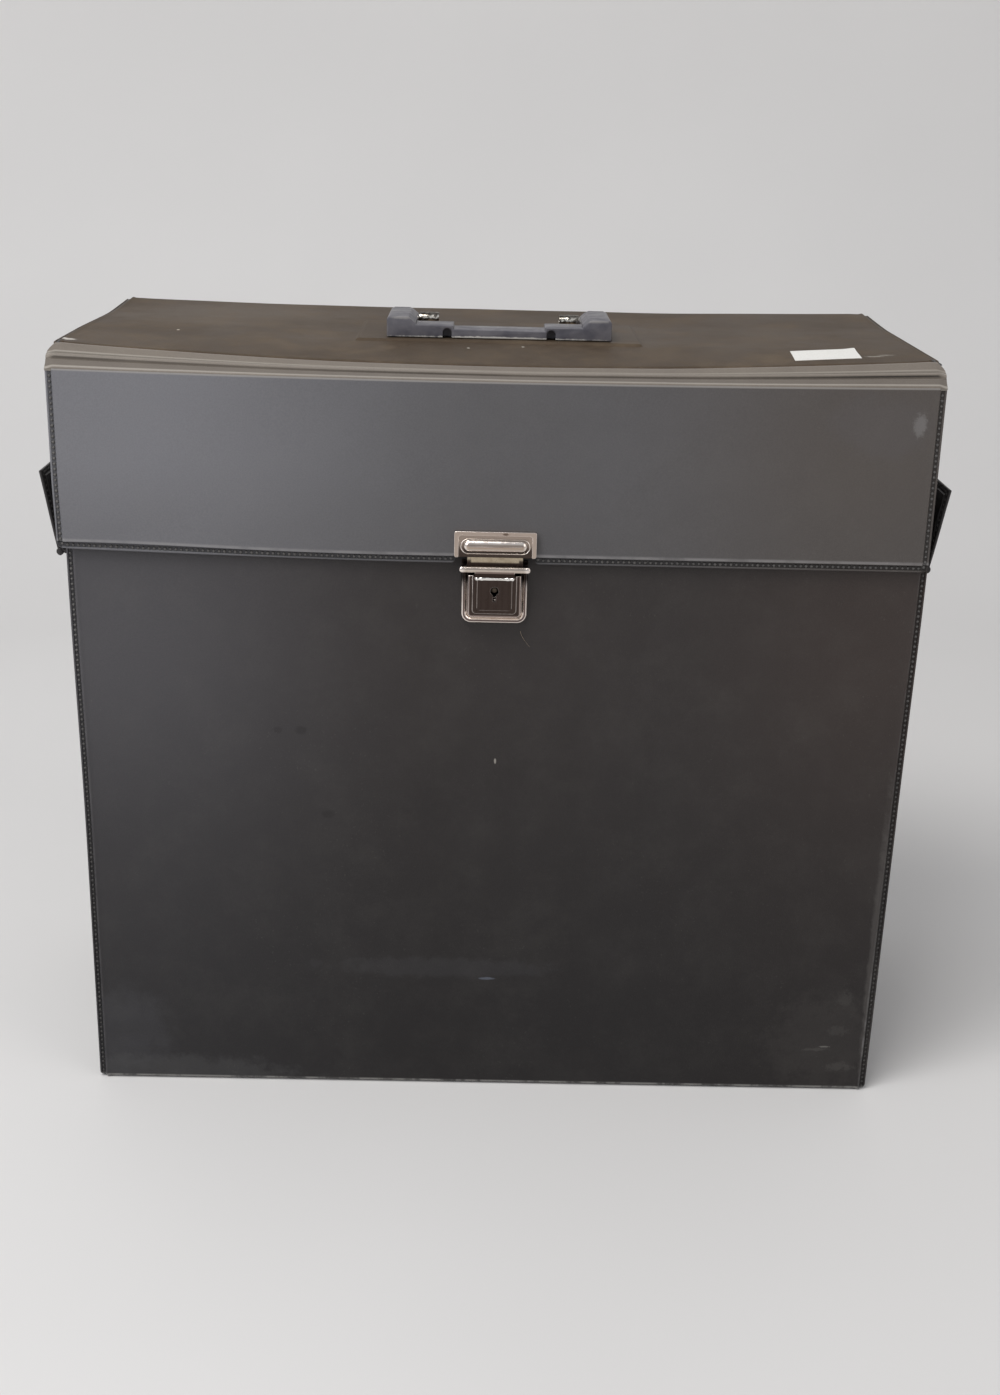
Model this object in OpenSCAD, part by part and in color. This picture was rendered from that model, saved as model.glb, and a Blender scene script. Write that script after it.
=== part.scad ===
// Record case: welded vinyl over chipboard, drop-front lid, folding handle and a nickel lock.
// Origin at the centre of the base, +Z up, +X to the right, the front faces -Y. Millimetres.

/* [Case] */
// Width over the welded side margins
body_w = 342; // [310:1:400]
// Depth of the body, front to back
body_d = 162; // [110:1:220]
// Height of the closed lid's top face
case_h = 322; // [300:1:380]
// Drop from the lid's top face to the top of the front wall, hidden behind the flap
front_wall_drop = 24; // [18:1:40]
// Drop from the lid's top face to the front flap's lower edge
flap_drop = 78; // [66:1:95]
// How far the lid reaches past the body on each side
lid_reach = 3; // [0.5:0.5:5]
// Running gap between the front wall and the flap
flap_gap = 0.7; // [0.4:0.1:2]
// Gap between the lid's lining and the side walls
lid_gap = 0.7; // [0.4:0.1:2]

/* [Vinyl and board] */
// Thickness of the outer vinyl
skin = 0.8; // [0.6:0.1:1]
// Thickness of the chipboard
board = 2; // [1.6:0.1:3]
// Thickness of the inner lining
lining = 0.5; // [0.3:0.1:0.7]
// Width of the welded and stitched margin
margin = 2.6; // [2.2:0.1:5]
// How far a margin lies below the padded face
weld_step = 0.6; // [0.3:0.1:0.7]
// Outer radius of the folds along the base
fold_r = 3; // [2:0.5:5]
// Radius of the flap's lower corners
flap_corner_r = 2.5; // [1:0.5:6]

/* [Soft hinges] */
// Run of the front hinge strip, front to back
front_strip_run = 12; // [8:0.5:16]
// Drop of the front hinge strip
front_strip_drop = 8.5; // [6:0.5:12]
// Run of the back hinge strip, front to back
back_strip_run = 10; // [8:0.5:14]
// Drop of the back hinge strip
back_strip_drop = 8; // [6:0.5:12]
// Thickness of the two vinyl layers welded together
strip_t = 1.3; // [1:0.1:1.6]
// Radius of the ridge that the strip bends round
ridge_r = 1.1; // [0.8:0.1:1.5]
// Groove beside the ridge
groove = 0.3; // [0.2:0.05:0.8]

/* [Side ears] */
// Height of an ear above its fold
ear_h = 34; // [20:1:60]
// Length of an ear, front to back
ear_len = 142; // [80:1:144]
// Drop from the lid's top face to the ear's fold
ear_drop = 83.4; // [72:0.1:120]
// Distance from the side wall out to the ear's fold
ear_out = 8.8; // [7:0.1:16]
// Outward lean of the ear at rest, in degrees
ear_lean = 11; // [4:1:20]
// Radius of the rolled fold
ear_roll_r = 1.5; // [1.2:0.1:2.2]
// Height of the strip welded to the side wall
ear_strip_h = 14; // [8:1:24]
// Thickness of the strip and of the ear's board
ear_strip_t = 1; // [0.8:0.1:1.4]

/* [Handle] */
// Overall width of the handle
handle_w = 93; // [80:1:120]
// Length of a leg from the pivot to the handle's front edge
handle_reach = 33; // [28:1:44]
// Distance of the pivot behind the middle of the case
pivot_y = 1; // [-20:1:20]
// Height of a leg
leg_h = 8.3; // [7.6:0.1:10]
// Width of a leg at its foot
leg_w = 12; // [10:0.5:14]
// Height of the shoulders beside the grip
shoulder_h = 5.3; // [4.4:0.1:6.5]
// Height of the grip between the shoulders
grip_h = 3.8; // [3:0.1:4.2]
// Depth of the grip, front to back
grip_depth = 14; // [10:0.5:18]
// Half the length of the low grip
grip_half = 18.9; // [14:0.1:22]
// Width of the moulded arches in the handle's front
arch_w = 3.6; // [2:0.1:5]
// Thickness of the stiffener under the lid's vinyl
stiffener_t = 0.8; // [0.6:0.1:1]
// Radius of the handle's pivot pins
pin_r = 1.5; // [1.2:0.1:1.8]
// Running clearance round pins and posts
run_fit = 0.05; // [0.02:0.01:0.09]
// Width of a handle bracket
bracket_w = 8.4; // [6:0.2:10]
// Steel thickness of brackets and lock plates
plate_t = 0.8; // [0.6:0.1:1]

/* [Lock] */
// Half the width of the lock's base plate
lock_half = 13.4; // [13:0.1:15]
// Drop from the flap's edge to the base plate's lower edge
lock_low_drop = 28.2; // [28:0.1:30]
// Drop from the flap's edge to the base plate's upper edge
lock_top_drop = 2.2; // [1:0.1:3]
// Half the width of the slider
slider_half = 10.5; // [10:0.1:11]
// Travel of the slider
slider_travel = 3.4; // [3:0.1:3.6]
// Drop from the flap's edge to the keyhole's centre
key_drop = 13.4; // [13:0.1:13.8]
// Half the width of the hasp plate
hasp_half = 16.4; // [14:0.1:20]
// Height of the hasp plate
hasp_h = 10.6; // [9:0.1:14]
// Half the width of the hasp's tongue
tongue_half = 11.2; // [8:0.1:12]
// Turns of each lock spring
spring_turns = 4; // [3:1:5]
// Wire radius of the lock springs
wire_r = 0.3; // [0.2:0.02:0.32]

/* [Hidden] */

$fn = 48;
slack = 0.05;
near = 0.3;
// How far a cut runs past the faces that it opens
past = 1;
stack = skin + board + lining;
half_w = body_w / 2;
half_d = body_d / 2;
lid_half = half_w + lid_reach;
front_y = -half_d;
back_y = half_d;
flap_y = front_y - flap_gap - stack;
strip_half_room = 1.6;

// Heights that hang from the lid's top face
front_wall_h = case_h - front_wall_drop;
flap_low_z = case_h - flap_drop;
ear_z = case_h - ear_drop;
lock_low_z = flap_low_z - lock_low_drop;
lock_top_z = flap_low_z - lock_top_drop;
key_z = flap_low_z - key_drop;

// The body's walls
side_x = half_w - margin;
side_inner = side_x - stack;
side_top = case_h - stack - lid_gap;
wall_inner = half_d - stack;
margin_under = weld_step + skin;
pocket_inset = 1.6;

// The hinge strips, as points in the plane of Y and Z
front_panel_edge = [flap_y + front_strip_run, case_h];
flap_edge = [flap_y, case_h - front_strip_drop];
front_axis = (front_panel_edge + flap_edge) / 2;
back_panel_edge = [back_y - back_strip_run, case_h];
back_wall_edge = [back_y, case_h - back_strip_drop];
back_axis = (back_panel_edge + back_wall_edge) / 2;
lid_span = back_panel_edge[0] - front_panel_edge[0];
flap_h = flap_edge[1] - flap_low_z;
lid_corner_r = 0.4;

// The ears
ear_t = skin + ear_strip_t + skin;
ear_x = side_x + ear_out;

// The handle
seat_z = case_h + stiffener_t;
pivot_z = seat_z + leg_h / 2 + near / 2;
handle_front_y = pivot_y - handle_reach;
leg_out = handle_w / 2;
leg_in = leg_out - leg_w;
leg_wall = 2;
leg_chamfer = 1;
arch_depth = 5;
bracket_x = leg_in - near - bracket_w / 2;
curl_r = pin_r + run_fit + plate_t + 0.2;
bracket_len = 15.5;
bracket_back = pivot_y + bracket_len;
bracket_rivet_run = 10.5;
bracket_rivet_y = pivot_y + bracket_rivet_run;
bracket_rivet_x = bracket_w / 4;
rivet_r = 1;
rivet_head_r = 1.7;
rivet_ball_r = 1.9;
rivet_ball_sink = 0.8;
stiffener_w = 116;
stiffener_lead = 4;
stiffener_front = handle_front_y - stiffener_lead;
stiffener_spare = 8;
stiffener_back = bracket_back + stiffener_spare;

// The lock's base, its depths measured outward from the front wall's face
rivet_head_h = 0.4;
rim_r = 1.1;
rim_depth = 1.6;
rim_bend = 3;
inner_rim_r = 0.7;
inner_rim_depth = 1.2;
inner_rim_bend = 2;
rim_nest = 0.2;
rim_drop = 4.2;
rim_top = flap_low_z - rim_drop;
base_corner_r = 4;
inner_rim_x = lock_half - 2 * rim_r - inner_rim_r + rim_nest;
inner_rim_z = lock_low_z + 2 * rim_r + inner_rim_r - rim_nest;
lug_h = 1;
lug_rise = 0.7;
lug_top = inner_rim_z + inner_rim_r + lug_rise;
backplate_in = 1.5;

// The slider: the ledge's travel frees the tongue, and the rib's travel clears the key's hub
tongue_depth = flap_gap + stack;
tongue_end = tongue_depth + plate_t;
block_back = tongue_depth - 0.1;
step_depth = 1.8;
block_step = block_back + step_depth;
tier_h = 1;
tier_depth = block_step + tier_h;
face_h = 0.5;
block_front = tier_depth + face_h;
ledge_back = tongue_end + near;
ledge_t = 2.5;
ledge_front = ledge_back + ledge_t;
ledge_reach = 0.8;
ledge_half = lock_half + ledge_reach;
ledge_drop = 5.9;
ledge_z = flap_low_z - ledge_drop;
ledge_h = 2.4;
ledge_step = 0.4;
ledge_sink = 1;
neck_h = 1.3;
neck_half = slider_half - 2.5;
block_top = ledge_z - neck_h;
block_h = 17.2;
block_low = block_top - block_h;
tongue_low = ledge_z + ledge_h - slider_travel + near;
tab_half = inner_rim_x - inner_rim_r - 2 * near;
tab_w = 1.4;
tab_drop = 2;
guide_back = plate_t + rivet_head_h + near;
guide_bite = 0.5;
guide_front = block_back + guide_bite;
hub_r = 1.7;
rib_low = key_z + hub_r + slider_travel + near;
shelf_h = 1;
shelf_drop = 4;
shelf_z = key_z - shelf_drop;
keyhole_r = 1.7;
key_slot_half = 0.7;
key_slot_h = 4.2;

// The springs, the cam and its post
spring_x = 5.2;
spring_r = 1.05;
spring_depth = (plate_t + block_back) / 2;
lobe_half = 1.4;
lobe_t = 1.2;
lobe_r = rib_low - key_z - near;
post_r = 1;
post_tip = block_step - near;
lock_rivet_x = 7.5;
lock_rivet_inset = 2;
lock_rivet_rise = 3.2;
lock_rivets_at = [[-lock_rivet_x, lock_top_z - lock_rivet_inset],
    [lock_rivet_x, lock_top_z - lock_rivet_inset], [0, lug_top + lock_rivet_rise]];

// The hasp
hasp_rise = 0.1;
hasp_low = flap_low_z + hasp_rise;
hasp_top = hasp_low + hasp_h;
hasp_wall = 0.7;
hasp_cavity = plate_t + rivet_head_h;
hasp_face = tongue_depth + hasp_cavity + hasp_wall;
hasp_corner_r = 0.8;
hasp_corner_in_r = 1.2;
hasp_rim = 1.7;
hasp_rim_h = 0.6;
bar_inset = 3;
bar_half = hasp_half - bar_inset;
bar_rise = 4.6;
bar_z = hasp_low + bar_rise;
bar_r = 3;
bar_h = 1.2;
hasp_rivet_x = 6.5;
hasp_rivet_rise = 7.6;
hasp_rivets_at = [[-hasp_rivet_x, flap_low_z + hasp_rivet_rise],
    [hasp_rivet_x, flap_low_z + hasp_rivet_rise]];
hasp_back_half = tongue_half - 1;
hasp_back_rise = 2.4;
hasp_back_low = flap_low_z + margin + hasp_back_rise;
hasp_back_top = flap_low_z + hasp_h;

// How deep under a strip's outer face a side panel's cut corner lies
side_relief = 1;
corner_depth = strip_t + side_relief;

function unit(v) = v / norm(v);
// The normal of a hinge strip that points into the case
function inward(edge, axis) =
    let (d = unit(axis - edge), n = [-d[1], d[0]])
    (n * ([0, case_h / 2] - edge) > 0) ? n : -n;

// Where a line at a depth under a strip crosses a height, and where it crosses a place in Y
function strip_y(edge, axis, depth, z) =
    let (d = unit(axis - edge), p = edge + inward(edge, axis) * depth) p[0] + (z - p[1]) * d[0] / d[1];
function strip_z(edge, axis, depth, y) =
    let (d = unit(axis - edge), p = edge + inward(edge, axis) * depth) p[1] + (y - p[0]) * d[1] / d[0];

// A profile in Y and Z, drawn along X and centred
module along_x(length) {
    rotate([90, 0, 90]) linear_extrude(height = length, center = true) children();
}

// A profile in X and Z, drawn along Y and centred
module along_y(length) {
    rotate([90, 0, 0]) linear_extrude(height = length, center = true) children();
}

// Moves a shape drawn in X, height and outward depth onto the front wall
module on_front() {
    translate([0, front_y, 0]) rotate([90, 0, 0]) children();
}

module box(x, y, z) {
    translate([x[0], y[0], z[0]]) cube([x[1] - x[0], y[1] - y[0], z[1] - z[0]]);
}

module mirrored_box(x, y, z) {
    box(x, y, z);
    box([-x[1], -x[0]], y, z);
}

// A rectangle from x -half to half, with its two lower corners rounded
module low_rounded(half, low, high, r) {
    translate([-half, low + r]) square([2 * half, high - low - r]);
    translate([-half + r, low]) square([2 * half - 2 * r, r + 0.01]);
    translate([-half + r, low + r]) circle(r);
    translate([half - r, low + r]) circle(r);
}

// A rectangle with all its corners rounded
module rounded(half, low, high, r) {
    translate([-half + r, low]) square([2 * half - 2 * r, high - low]);
    translate([-half, low + r]) square([2 * half, high - low - 2 * r]);
    for (x = [-half + r, half - r], y = [low + r, high - r]) translate([x, y]) circle(r);
}

// One half of a hinge strip, from a panel's edge to its groove
module strip_half(edge, axis, into, inner, stop) {
    d = unit(axis - edge);
    groove_end = axis - d * stop;
    root = edge + into * strip_half_room;
    polygon([edge, groove_end, groove_end + inward(edge, axis) * strip_t, root + inner * strip_t, root]);
}

// The half of a strip that carries the ridge on the hinge axis
module ridged_half(edge, axis, into, inner) {
    strip_half(edge, axis, into, inner, 0);
    translate(axis) circle(ridge_r);
}

// A padded panel with its outer face at z = 0, its inset edges given as sides, low and high
module panel_cover(half, high, side, low_edge, high_edge, r) {
    difference() {
        union() {
            translate([0, 0, -margin_under]) linear_extrude(skin) low_rounded(half, 0, high, r);
            box([-half + side, half - side], [low_edge, high - high_edge], [-skin, 0]);
        }
        box([-half + side + pocket_inset, half - side - pocket_inset],
            [low_edge + pocket_inset, high - high_edge - pocket_inset], [-margin_under - past, -skin]);
    }
}

module panel_lining(half, high, side, low_edge, high_edge, r) {
    inset = pocket_inset + slack;
    rim = inset + lining;
    difference() {
        union() {
            translate([0, 0, -margin_under - lining]) linear_extrude(lining) low_rounded(half, 0, high, r);
            box([-half + side + inset, half - side - inset],
                [low_edge + inset, high - high_edge - inset], [-stack, -skin]);
        }
        box([-half + side + rim, half - side - rim],
            [low_edge + rim, high - high_edge - rim], [-stack + lining, 1]);
    }
}

module panel_board(half, high, side, low_edge, high_edge) {
    inset = pocket_inset + lining + 3 * slack;
    box([-half + side + inset, half - side - inset],
        [low_edge + inset, high - high_edge - inset], [-skin - board, -skin]);
}

// The profile of the space inside the wrap, as far in as inset
module well(inset) {
    low_rounded(half_d - inset, inset, case_h, max(fold_r - inset, 0.4));
}

// The part of a profile that the two walls and the base fill
module wall_tops() {
    difference() {
        translate([-half_d - past, -past]) square([body_d + 2 * past, back_wall_edge[1] + past]);
        translate([-half_d - 2, front_wall_h]) square([half_d, case_h]);
    }
}

// A sheet bent round the front, the base and the back
module u_sheet(inset, t, width) {
    along_x(width) intersection() {
        difference() {
            well(inset);
            well(inset + t);
        }
        wall_tops();
    }
}

module lock_holes(r) {
    on_front() for (p = lock_rivets_at)
        translate([p[0], p[1], -stack - 2 * past]) cylinder(h = stack + 4 * past, r = r);
}

module hasp_holes(r) {
    on_front() for (p = hasp_rivets_at)
        translate([p[0], p[1], -past]) cylinder(h = tongue_end + 3 * past, r = r);
}

module bracket_holes(r) {
    for (side = [-1, 1], dx = [-bracket_rivet_x, bracket_rivet_x])
        translate([side * bracket_x + dx, bracket_rivet_y, case_h - stack - past])
            cylinder(h = stack + 4 * past, r = r);
}

// The long vinyl sheet round the front, base and back
module wrap_cover() color([0.16, 0.16, 0.18]) {
    difference() {
        union() {
            u_sheet(weld_step, skin, body_w);
            u_sheet(0, skin, 2 * side_x);
            box([-side_x, side_x], [front_y, front_y + stack], [front_wall_h - skin, front_wall_h]);
            along_x(body_w) strip_half(back_wall_edge, back_axis, [0, -1], [-1, 0], ridge_r + groove);
        }
        along_x(2 * (side_x - pocket_inset)) difference() {
            well(skin);
            translate([-half_d - past, front_wall_h - skin]) square([half_d, case_h]);
            translate([0, back_wall_edge[1] - skin]) square([half_d + past, case_h]);
        }
        lock_holes(rivet_r + slack);
    }
    box([-side_x, side_x], [wall_inner, back_y - skin], [back_wall_edge[1] - skin, back_wall_edge[1]]);
}

module wall_board(y_low, y_high, top) {
    box([-side_x + pocket_inset, side_x - pocket_inset], [y_low, y_high],
        [stack + slack, top - skin - slack]);
}

module front_board() color([0.55, 0.45, 0.32]) difference() {
    wall_board(front_y + skin, front_y + skin + board, front_wall_h);
    lock_holes(rivet_r + slack);
}

module back_board() color([0.55, 0.45, 0.32])
    wall_board(back_y - skin - board, back_y - skin, back_wall_edge[1]);

module base_board() color([0.55, 0.45, 0.32])
    box([-side_x + pocket_inset, side_x - pocket_inset],
        [front_y + stack + slack, back_y - stack - slack], [skin, skin + board]);

// The lining bonded inside the wrap
module wrap_lining() color([0.22, 0.22, 0.23]) difference() {
    along_x(2 * (side_inner - slack)) intersection() {
        difference() {
            well(skin + board);
            well(stack);
        }
        difference() {
            wall_tops();
            translate([-half_d - past, front_wall_h - skin]) square([half_d, case_h]);
            translate([0, back_wall_edge[1] - skin - slack]) square([half_d + past, case_h]);
        }
    }
    lock_holes(rivet_r + slack);
}

// A side panel's outline, its upper corners cut clear of the hinge strips
module side_outline(half, low, inset) {
    top = side_top - inset;
    depth = corner_depth + inset;
    polygon([[-half, low], [half, low], [half, strip_z(back_wall_edge, back_axis, depth, half)],
        [strip_y(back_wall_edge, back_axis, depth, top), top],
        [strip_y(flap_edge, front_axis, depth, top), top],
        [-half, strip_z(flap_edge, front_axis, depth, -half)]]);
}

// A sheet of a side panel, between two places in X
module side_sheet(x) {
    translate([(x[0] + x[1]) / 2, 0, 0]) along_x(x[1] - x[0]) children();
}

// A side panel's vinyl, with flanges welded under the wrap's margins
module side_cover(s) color([0.15, 0.15, 0.17]) mirror([s < 0 ? 1 : 0, 0, 0]) {
    edge = half_d - margin_under;
    intersection() {
        union() {
            side_sheet([side_x - skin, side_x]) side_outline(edge, margin_under, 0);
            side_sheet([side_inner, side_x]) difference() {
                side_outline(wall_inner - slack, front_wall_h, 0);
                side_outline(wall_inner + past, front_wall_h - past, skin);
            }
            box([side_x - skin, half_w], [-edge, -edge + skin], [margin_under, front_wall_h]);
            box([side_x - skin, half_w], [edge - skin, edge], [margin_under, back_wall_edge[1] - strip_t]);
            box([side_x - skin, half_w], [-edge, edge], [margin_under, margin_under + skin]);
        }
        along_x(body_w + 2) intersection() {
            well(margin_under);
            side_outline(edge, 0, 0);
        }
    }
}

module side_board(s) color([0.55, 0.45, 0.32]) mirror([s < 0 ? 1 : 0, 0, 0])
    side_sheet([side_x - skin - board, side_x - skin])
        side_outline(wall_inner - slack, stack + slack, skin + slack);

module side_lining(s) color([0.22, 0.22, 0.23]) mirror([s < 0 ? 1 : 0, 0, 0])
    side_sheet([side_inner, side_inner + lining])
        side_outline(wall_inner - slack, stack + slack, skin + slack);

// The strip welded to the side wall, folded out to the ear
module ear_strip(s) color([0.14, 0.14, 0.16]) mirror([s < 0 ? 1 : 0, 0, 0]) {
    low = ear_z - ear_strip_t / 2;
    box([side_x, side_x + ear_strip_t], [-ear_len / 2, ear_len / 2], [low, low + ear_strip_h]);
    box([side_x, ear_x - ear_roll_r - groove], [-ear_len / 2, ear_len / 2], [low, low + ear_strip_t]);
}

module ear_place(s) {
    mirror([s < 0 ? 1 : 0, 0, 0]) translate([ear_x, 0, ear_z]) rotate([0, ear_lean, 0]) children();
}

// The ear's vinyl, rolled at the fold and closed round its board
module ear_cover(s) color([0.17, 0.17, 0.19]) ear_place(s) difference() {
    union() {
        rotate([90, 0, 0]) cylinder(h = ear_len, r = ear_roll_r, center = true);
        box([-ear_t / 2, ear_t / 2], [-ear_len / 2, ear_len / 2], [0, ear_h]);
    }
    box([-ear_strip_t / 2, ear_strip_t / 2], [-ear_len / 2 + margin, ear_len / 2 - margin],
        [ear_roll_r + 2, ear_h - margin]);
}

module ear_board(s) color([0.55, 0.45, 0.32]) ear_place(s)
    box([-ear_strip_t / 2, ear_strip_t / 2], [-ear_len / 2 + margin, ear_len / 2 - margin],
        [ear_roll_r + 2, ear_h - margin]);

// Moves a panel drawn flat to the lid's place, its length along Y
module lid_place() {
    translate([0, front_panel_edge[0], case_h]) children();
}

module flap_place() {
    translate([0, flap_y, flap_low_z]) rotate([90, 0, 0]) children();
}

// The lid's halves of both hinge strips
module lid_strips(half) along_x(2 * half) {
    strip_half(front_panel_edge, front_axis, [1, 0], [0, -1], ridge_r + groove);
    ridged_half(back_panel_edge, back_axis, [-1, 0], [0, -1]);
}

// The flap's half of the front hinge strip, with the ridge
module flap_strip(half) along_x(2 * half) ridged_half(flap_edge, front_axis, [0, -1], [1, 0]);

// The lid's vinyl, with half of each hinge strip and the swell over the stiffener
module lid_cover() color([0.2, 0.19, 0.17]) difference() {
    union() {
        lid_place() panel_cover(lid_half, lid_span, margin, 0, 0, lid_corner_r);
        lid_strips(lid_half);
        box([-stiffener_w / 2 - skin, stiffener_w / 2 + skin],
            [stiffener_front - skin, stiffener_back + skin], [case_h - skin, seat_z]);
    }
    box([-stiffener_w / 2, stiffener_w / 2], [stiffener_front, stiffener_back],
        [case_h - 2 * skin, case_h - skin + stiffener_t]);
    bracket_holes(rivet_r + slack);
}

module handle_stiffener() color([0.62, 0.6, 0.56]) difference() {
    box([-stiffener_w / 2 + slack, stiffener_w / 2 - slack],
        [stiffener_front + slack, stiffener_back - slack],
        [case_h - skin, case_h - skin + stiffener_t]);
    bracket_holes(rivet_r + slack);
}

module lid_board() color([0.55, 0.45, 0.32]) difference() {
    lid_place() panel_board(lid_half, lid_span, margin, 0, 0);
    bracket_holes(rivet_r + slack);
    for (side = [-1, 1], dx = [-bracket_rivet_x, bracket_rivet_x])
        translate([side * bracket_x + dx, bracket_rivet_y, case_h - stack])
            cylinder(h = lining + plate_t + slack, r = rivet_head_r + slack);
}

module lid_lining() color([0.22, 0.22, 0.23]) difference() {
    lid_place() panel_lining(lid_half, lid_span, margin, 0, 0, lid_corner_r);
    lid_strips(lid_half + past);
}

// A steel bracket that curls round the handle's pin and is riveted behind it
module handle_bracket(s) color([0.75, 0.74, 0.7]) mirror([s < 0 ? 1 : 0, 0, 0]) difference() {
    union() {
        box([bracket_x - bracket_w / 2, bracket_x + bracket_w / 2],
            [pivot_y, bracket_back - bracket_w / 2], [seat_z, seat_z + plate_t]);
        translate([bracket_x, bracket_back - bracket_w / 2, seat_z])
            cylinder(h = plate_t, r = bracket_w / 2);
        translate([bracket_x, pivot_y, pivot_z]) rotate([0, 90, 0])
            cylinder(h = bracket_w, r = curl_r, center = true);
        box([bracket_x - bracket_w / 2, bracket_x + bracket_w / 2],
            [pivot_y + curl_r - plate_t, pivot_y + curl_r], [seat_z, pivot_z]);
    }
    translate([bracket_x, pivot_y, pivot_z]) rotate([0, 90, 0])
        cylinder(h = bracket_w + 2 * past, r = pin_r + run_fit, center = true);
    for (dx = [-bracket_rivet_x, bracket_rivet_x])
        translate([bracket_x + dx, bracket_rivet_y, seat_z - past])
            cylinder(h = plate_t + 2 * past, r = rivet_r + slack);
}

// The rivets that hold both brackets, domed above and clenched in the board
module bracket_rivets() color([0.8, 0.78, 0.72])
    for (side = [-1, 1], dx = [-bracket_rivet_x, bracket_rivet_x])
        translate([side * bracket_x + dx, bracket_rivet_y, 0]) {
            translate([0, 0, case_h - stack + lining + slack])
                cylinder(h = seat_z + plate_t - case_h + stack - lining - slack, r = rivet_r);
            translate([0, 0, seat_z + plate_t]) intersection() {
                translate([0, 0, -rivet_ball_sink]) sphere(r = rivet_ball_r);
                cylinder(h = 3, r = rivet_head_r);
            }
        }

module rivet_washers() color([0.7, 0.7, 0.68])
    for (side = [-1, 1], dx = [-bracket_rivet_x, bracket_rivet_x])
        translate([side * bracket_x + dx, bracket_rivet_y, case_h - stack + lining + slack]) difference() {
            cylinder(h = plate_t - slack, r = rivet_head_r);
            translate([0, 0, -past]) cylinder(h = plate_t + 2 * past, r = rivet_r + slack / 2);
        }

// The outline of one leg and shoulder, seen from the front
module leg_outline() {
    slope = leg_h - shoulder_h;
    polygon([[leg_in, 0], [leg_out, 0], [leg_out, leg_h - leg_chamfer], [leg_out - leg_chamfer, leg_h],
        [leg_in + slope, leg_h], [leg_in, shoulder_h]]);
}

// The folding handle: two legs, two shoulders and a low grip, hollow underneath
module handle_grip() color([0.22, 0.24, 0.3]) {
    foot_z = seat_z + near;
    arch_x = grip_half + arch_w / 2 + 0.8;
    difference() {
        union() {
            for (s = [0, 1]) mirror([s, 0, 0]) {
                intersection() {
                    translate([0, (handle_front_y + pivot_y + leg_h) / 2, foot_z])
                        along_y(handle_reach + leg_h) leg_outline();
                    translate([0, pivot_y, pivot_z]) union() {
                        rotate([0, 90, 0]) cylinder(h = leg_out + past, r = leg_h / 2 - near / 2);
                        box([0, leg_out + past], [-handle_reach - past, 0], [-leg_h, leg_h]);
                    }
                }
                box([grip_half, leg_in + 0.5], [handle_front_y, handle_front_y + grip_depth + 1],
                    [foot_z, foot_z + shoulder_h - near]);
            }
            box([-grip_half - 0.5, grip_half + 0.5], [handle_front_y, handle_front_y + grip_depth],
                [foot_z, foot_z + grip_h - near]);
        }
        box([-grip_half + 2, grip_half - 2], [handle_front_y + 2, handle_front_y + grip_depth - 2],
            [foot_z - past, foot_z + grip_h / 2]);
        mirrored_box([leg_in + leg_wall, leg_out - leg_wall], [handle_front_y + leg_wall, pivot_y - leg_h],
            [foot_z - past, foot_z + leg_h / 2]);
        for (s = [-1, 1]) {
            translate([s * arch_x, handle_front_y - past, foot_z]) {
                box([-arch_w / 2, arch_w / 2], [0, arch_depth], [-past, grip_h - arch_w / 2]);
                translate([0, 0, grip_h - arch_w / 2]) rotate([-90, 0, 0])
                    cylinder(h = arch_depth, r = arch_w / 2);
            }
            translate([s * (leg_in - past), pivot_y, pivot_z]) rotate([0, s * 90, 0])
                cylinder(h = leg_w - 2, r = pin_r + slack / 2);
        }
    }
}

// The two steel pins, each from a bracket's curl into its leg
module handle_pins() color([0.78, 0.77, 0.72]) for (s = [-1, 1])
    translate([s * (bracket_x - bracket_w / 2 + 0.4), pivot_y, pivot_z]) rotate([0, s * 90, 0])
        cylinder(h = leg_in - bracket_x + bracket_w / 2 + leg_w - 4, r = pin_r);

// The flap's vinyl, with the ridged half of the front hinge strip
module flap_cover() color([0.19, 0.2, 0.23]) difference() {
    union() {
        flap_place() panel_cover(lid_half, flap_h, margin, margin, 0, flap_corner_r);
        flap_strip(lid_half);
    }
    hasp_holes(rivet_r + slack);
}

module flap_board() color([0.55, 0.45, 0.32]) difference() {
    flap_place() panel_board(lid_half, flap_h, margin, margin, 0);
    hasp_holes(rivet_r + slack);
}

module flap_lining() color([0.22, 0.22, 0.23]) difference() {
    flap_place() panel_lining(lid_half, flap_h, margin, margin, 0, flap_corner_r);
    flap_strip(lid_half + past);
    hasp_holes(rivet_r + slack);
    hasp_backplate_room(slack);
}

// The backplate lies in a recess of the flap's lining
module hasp_backplate_room(room) {
    on_front() translate([0, 0, flap_gap - past]) linear_extrude(past + lining)
        rounded(hasp_back_half + room, hasp_back_low - room, hasp_back_top + room, 1);
}

// The bar pressed out of the hasp's face
module hasp_bar() intersection() {
    translate([0, bar_z, hasp_face + bar_h - bar_r]) {
        rotate([0, 90, 0]) cylinder(h = 2 * (bar_half - bar_r), r = bar_r, center = true);
        for (s = [-1, 1]) translate([s * (bar_half - bar_r), 0, 0]) sphere(r = bar_r);
    }
    box([-bar_half, bar_half], [bar_z - bar_r, bar_z + bar_r],
        [hasp_face - hasp_wall / 2, hasp_face + bar_r]);
}

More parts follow.
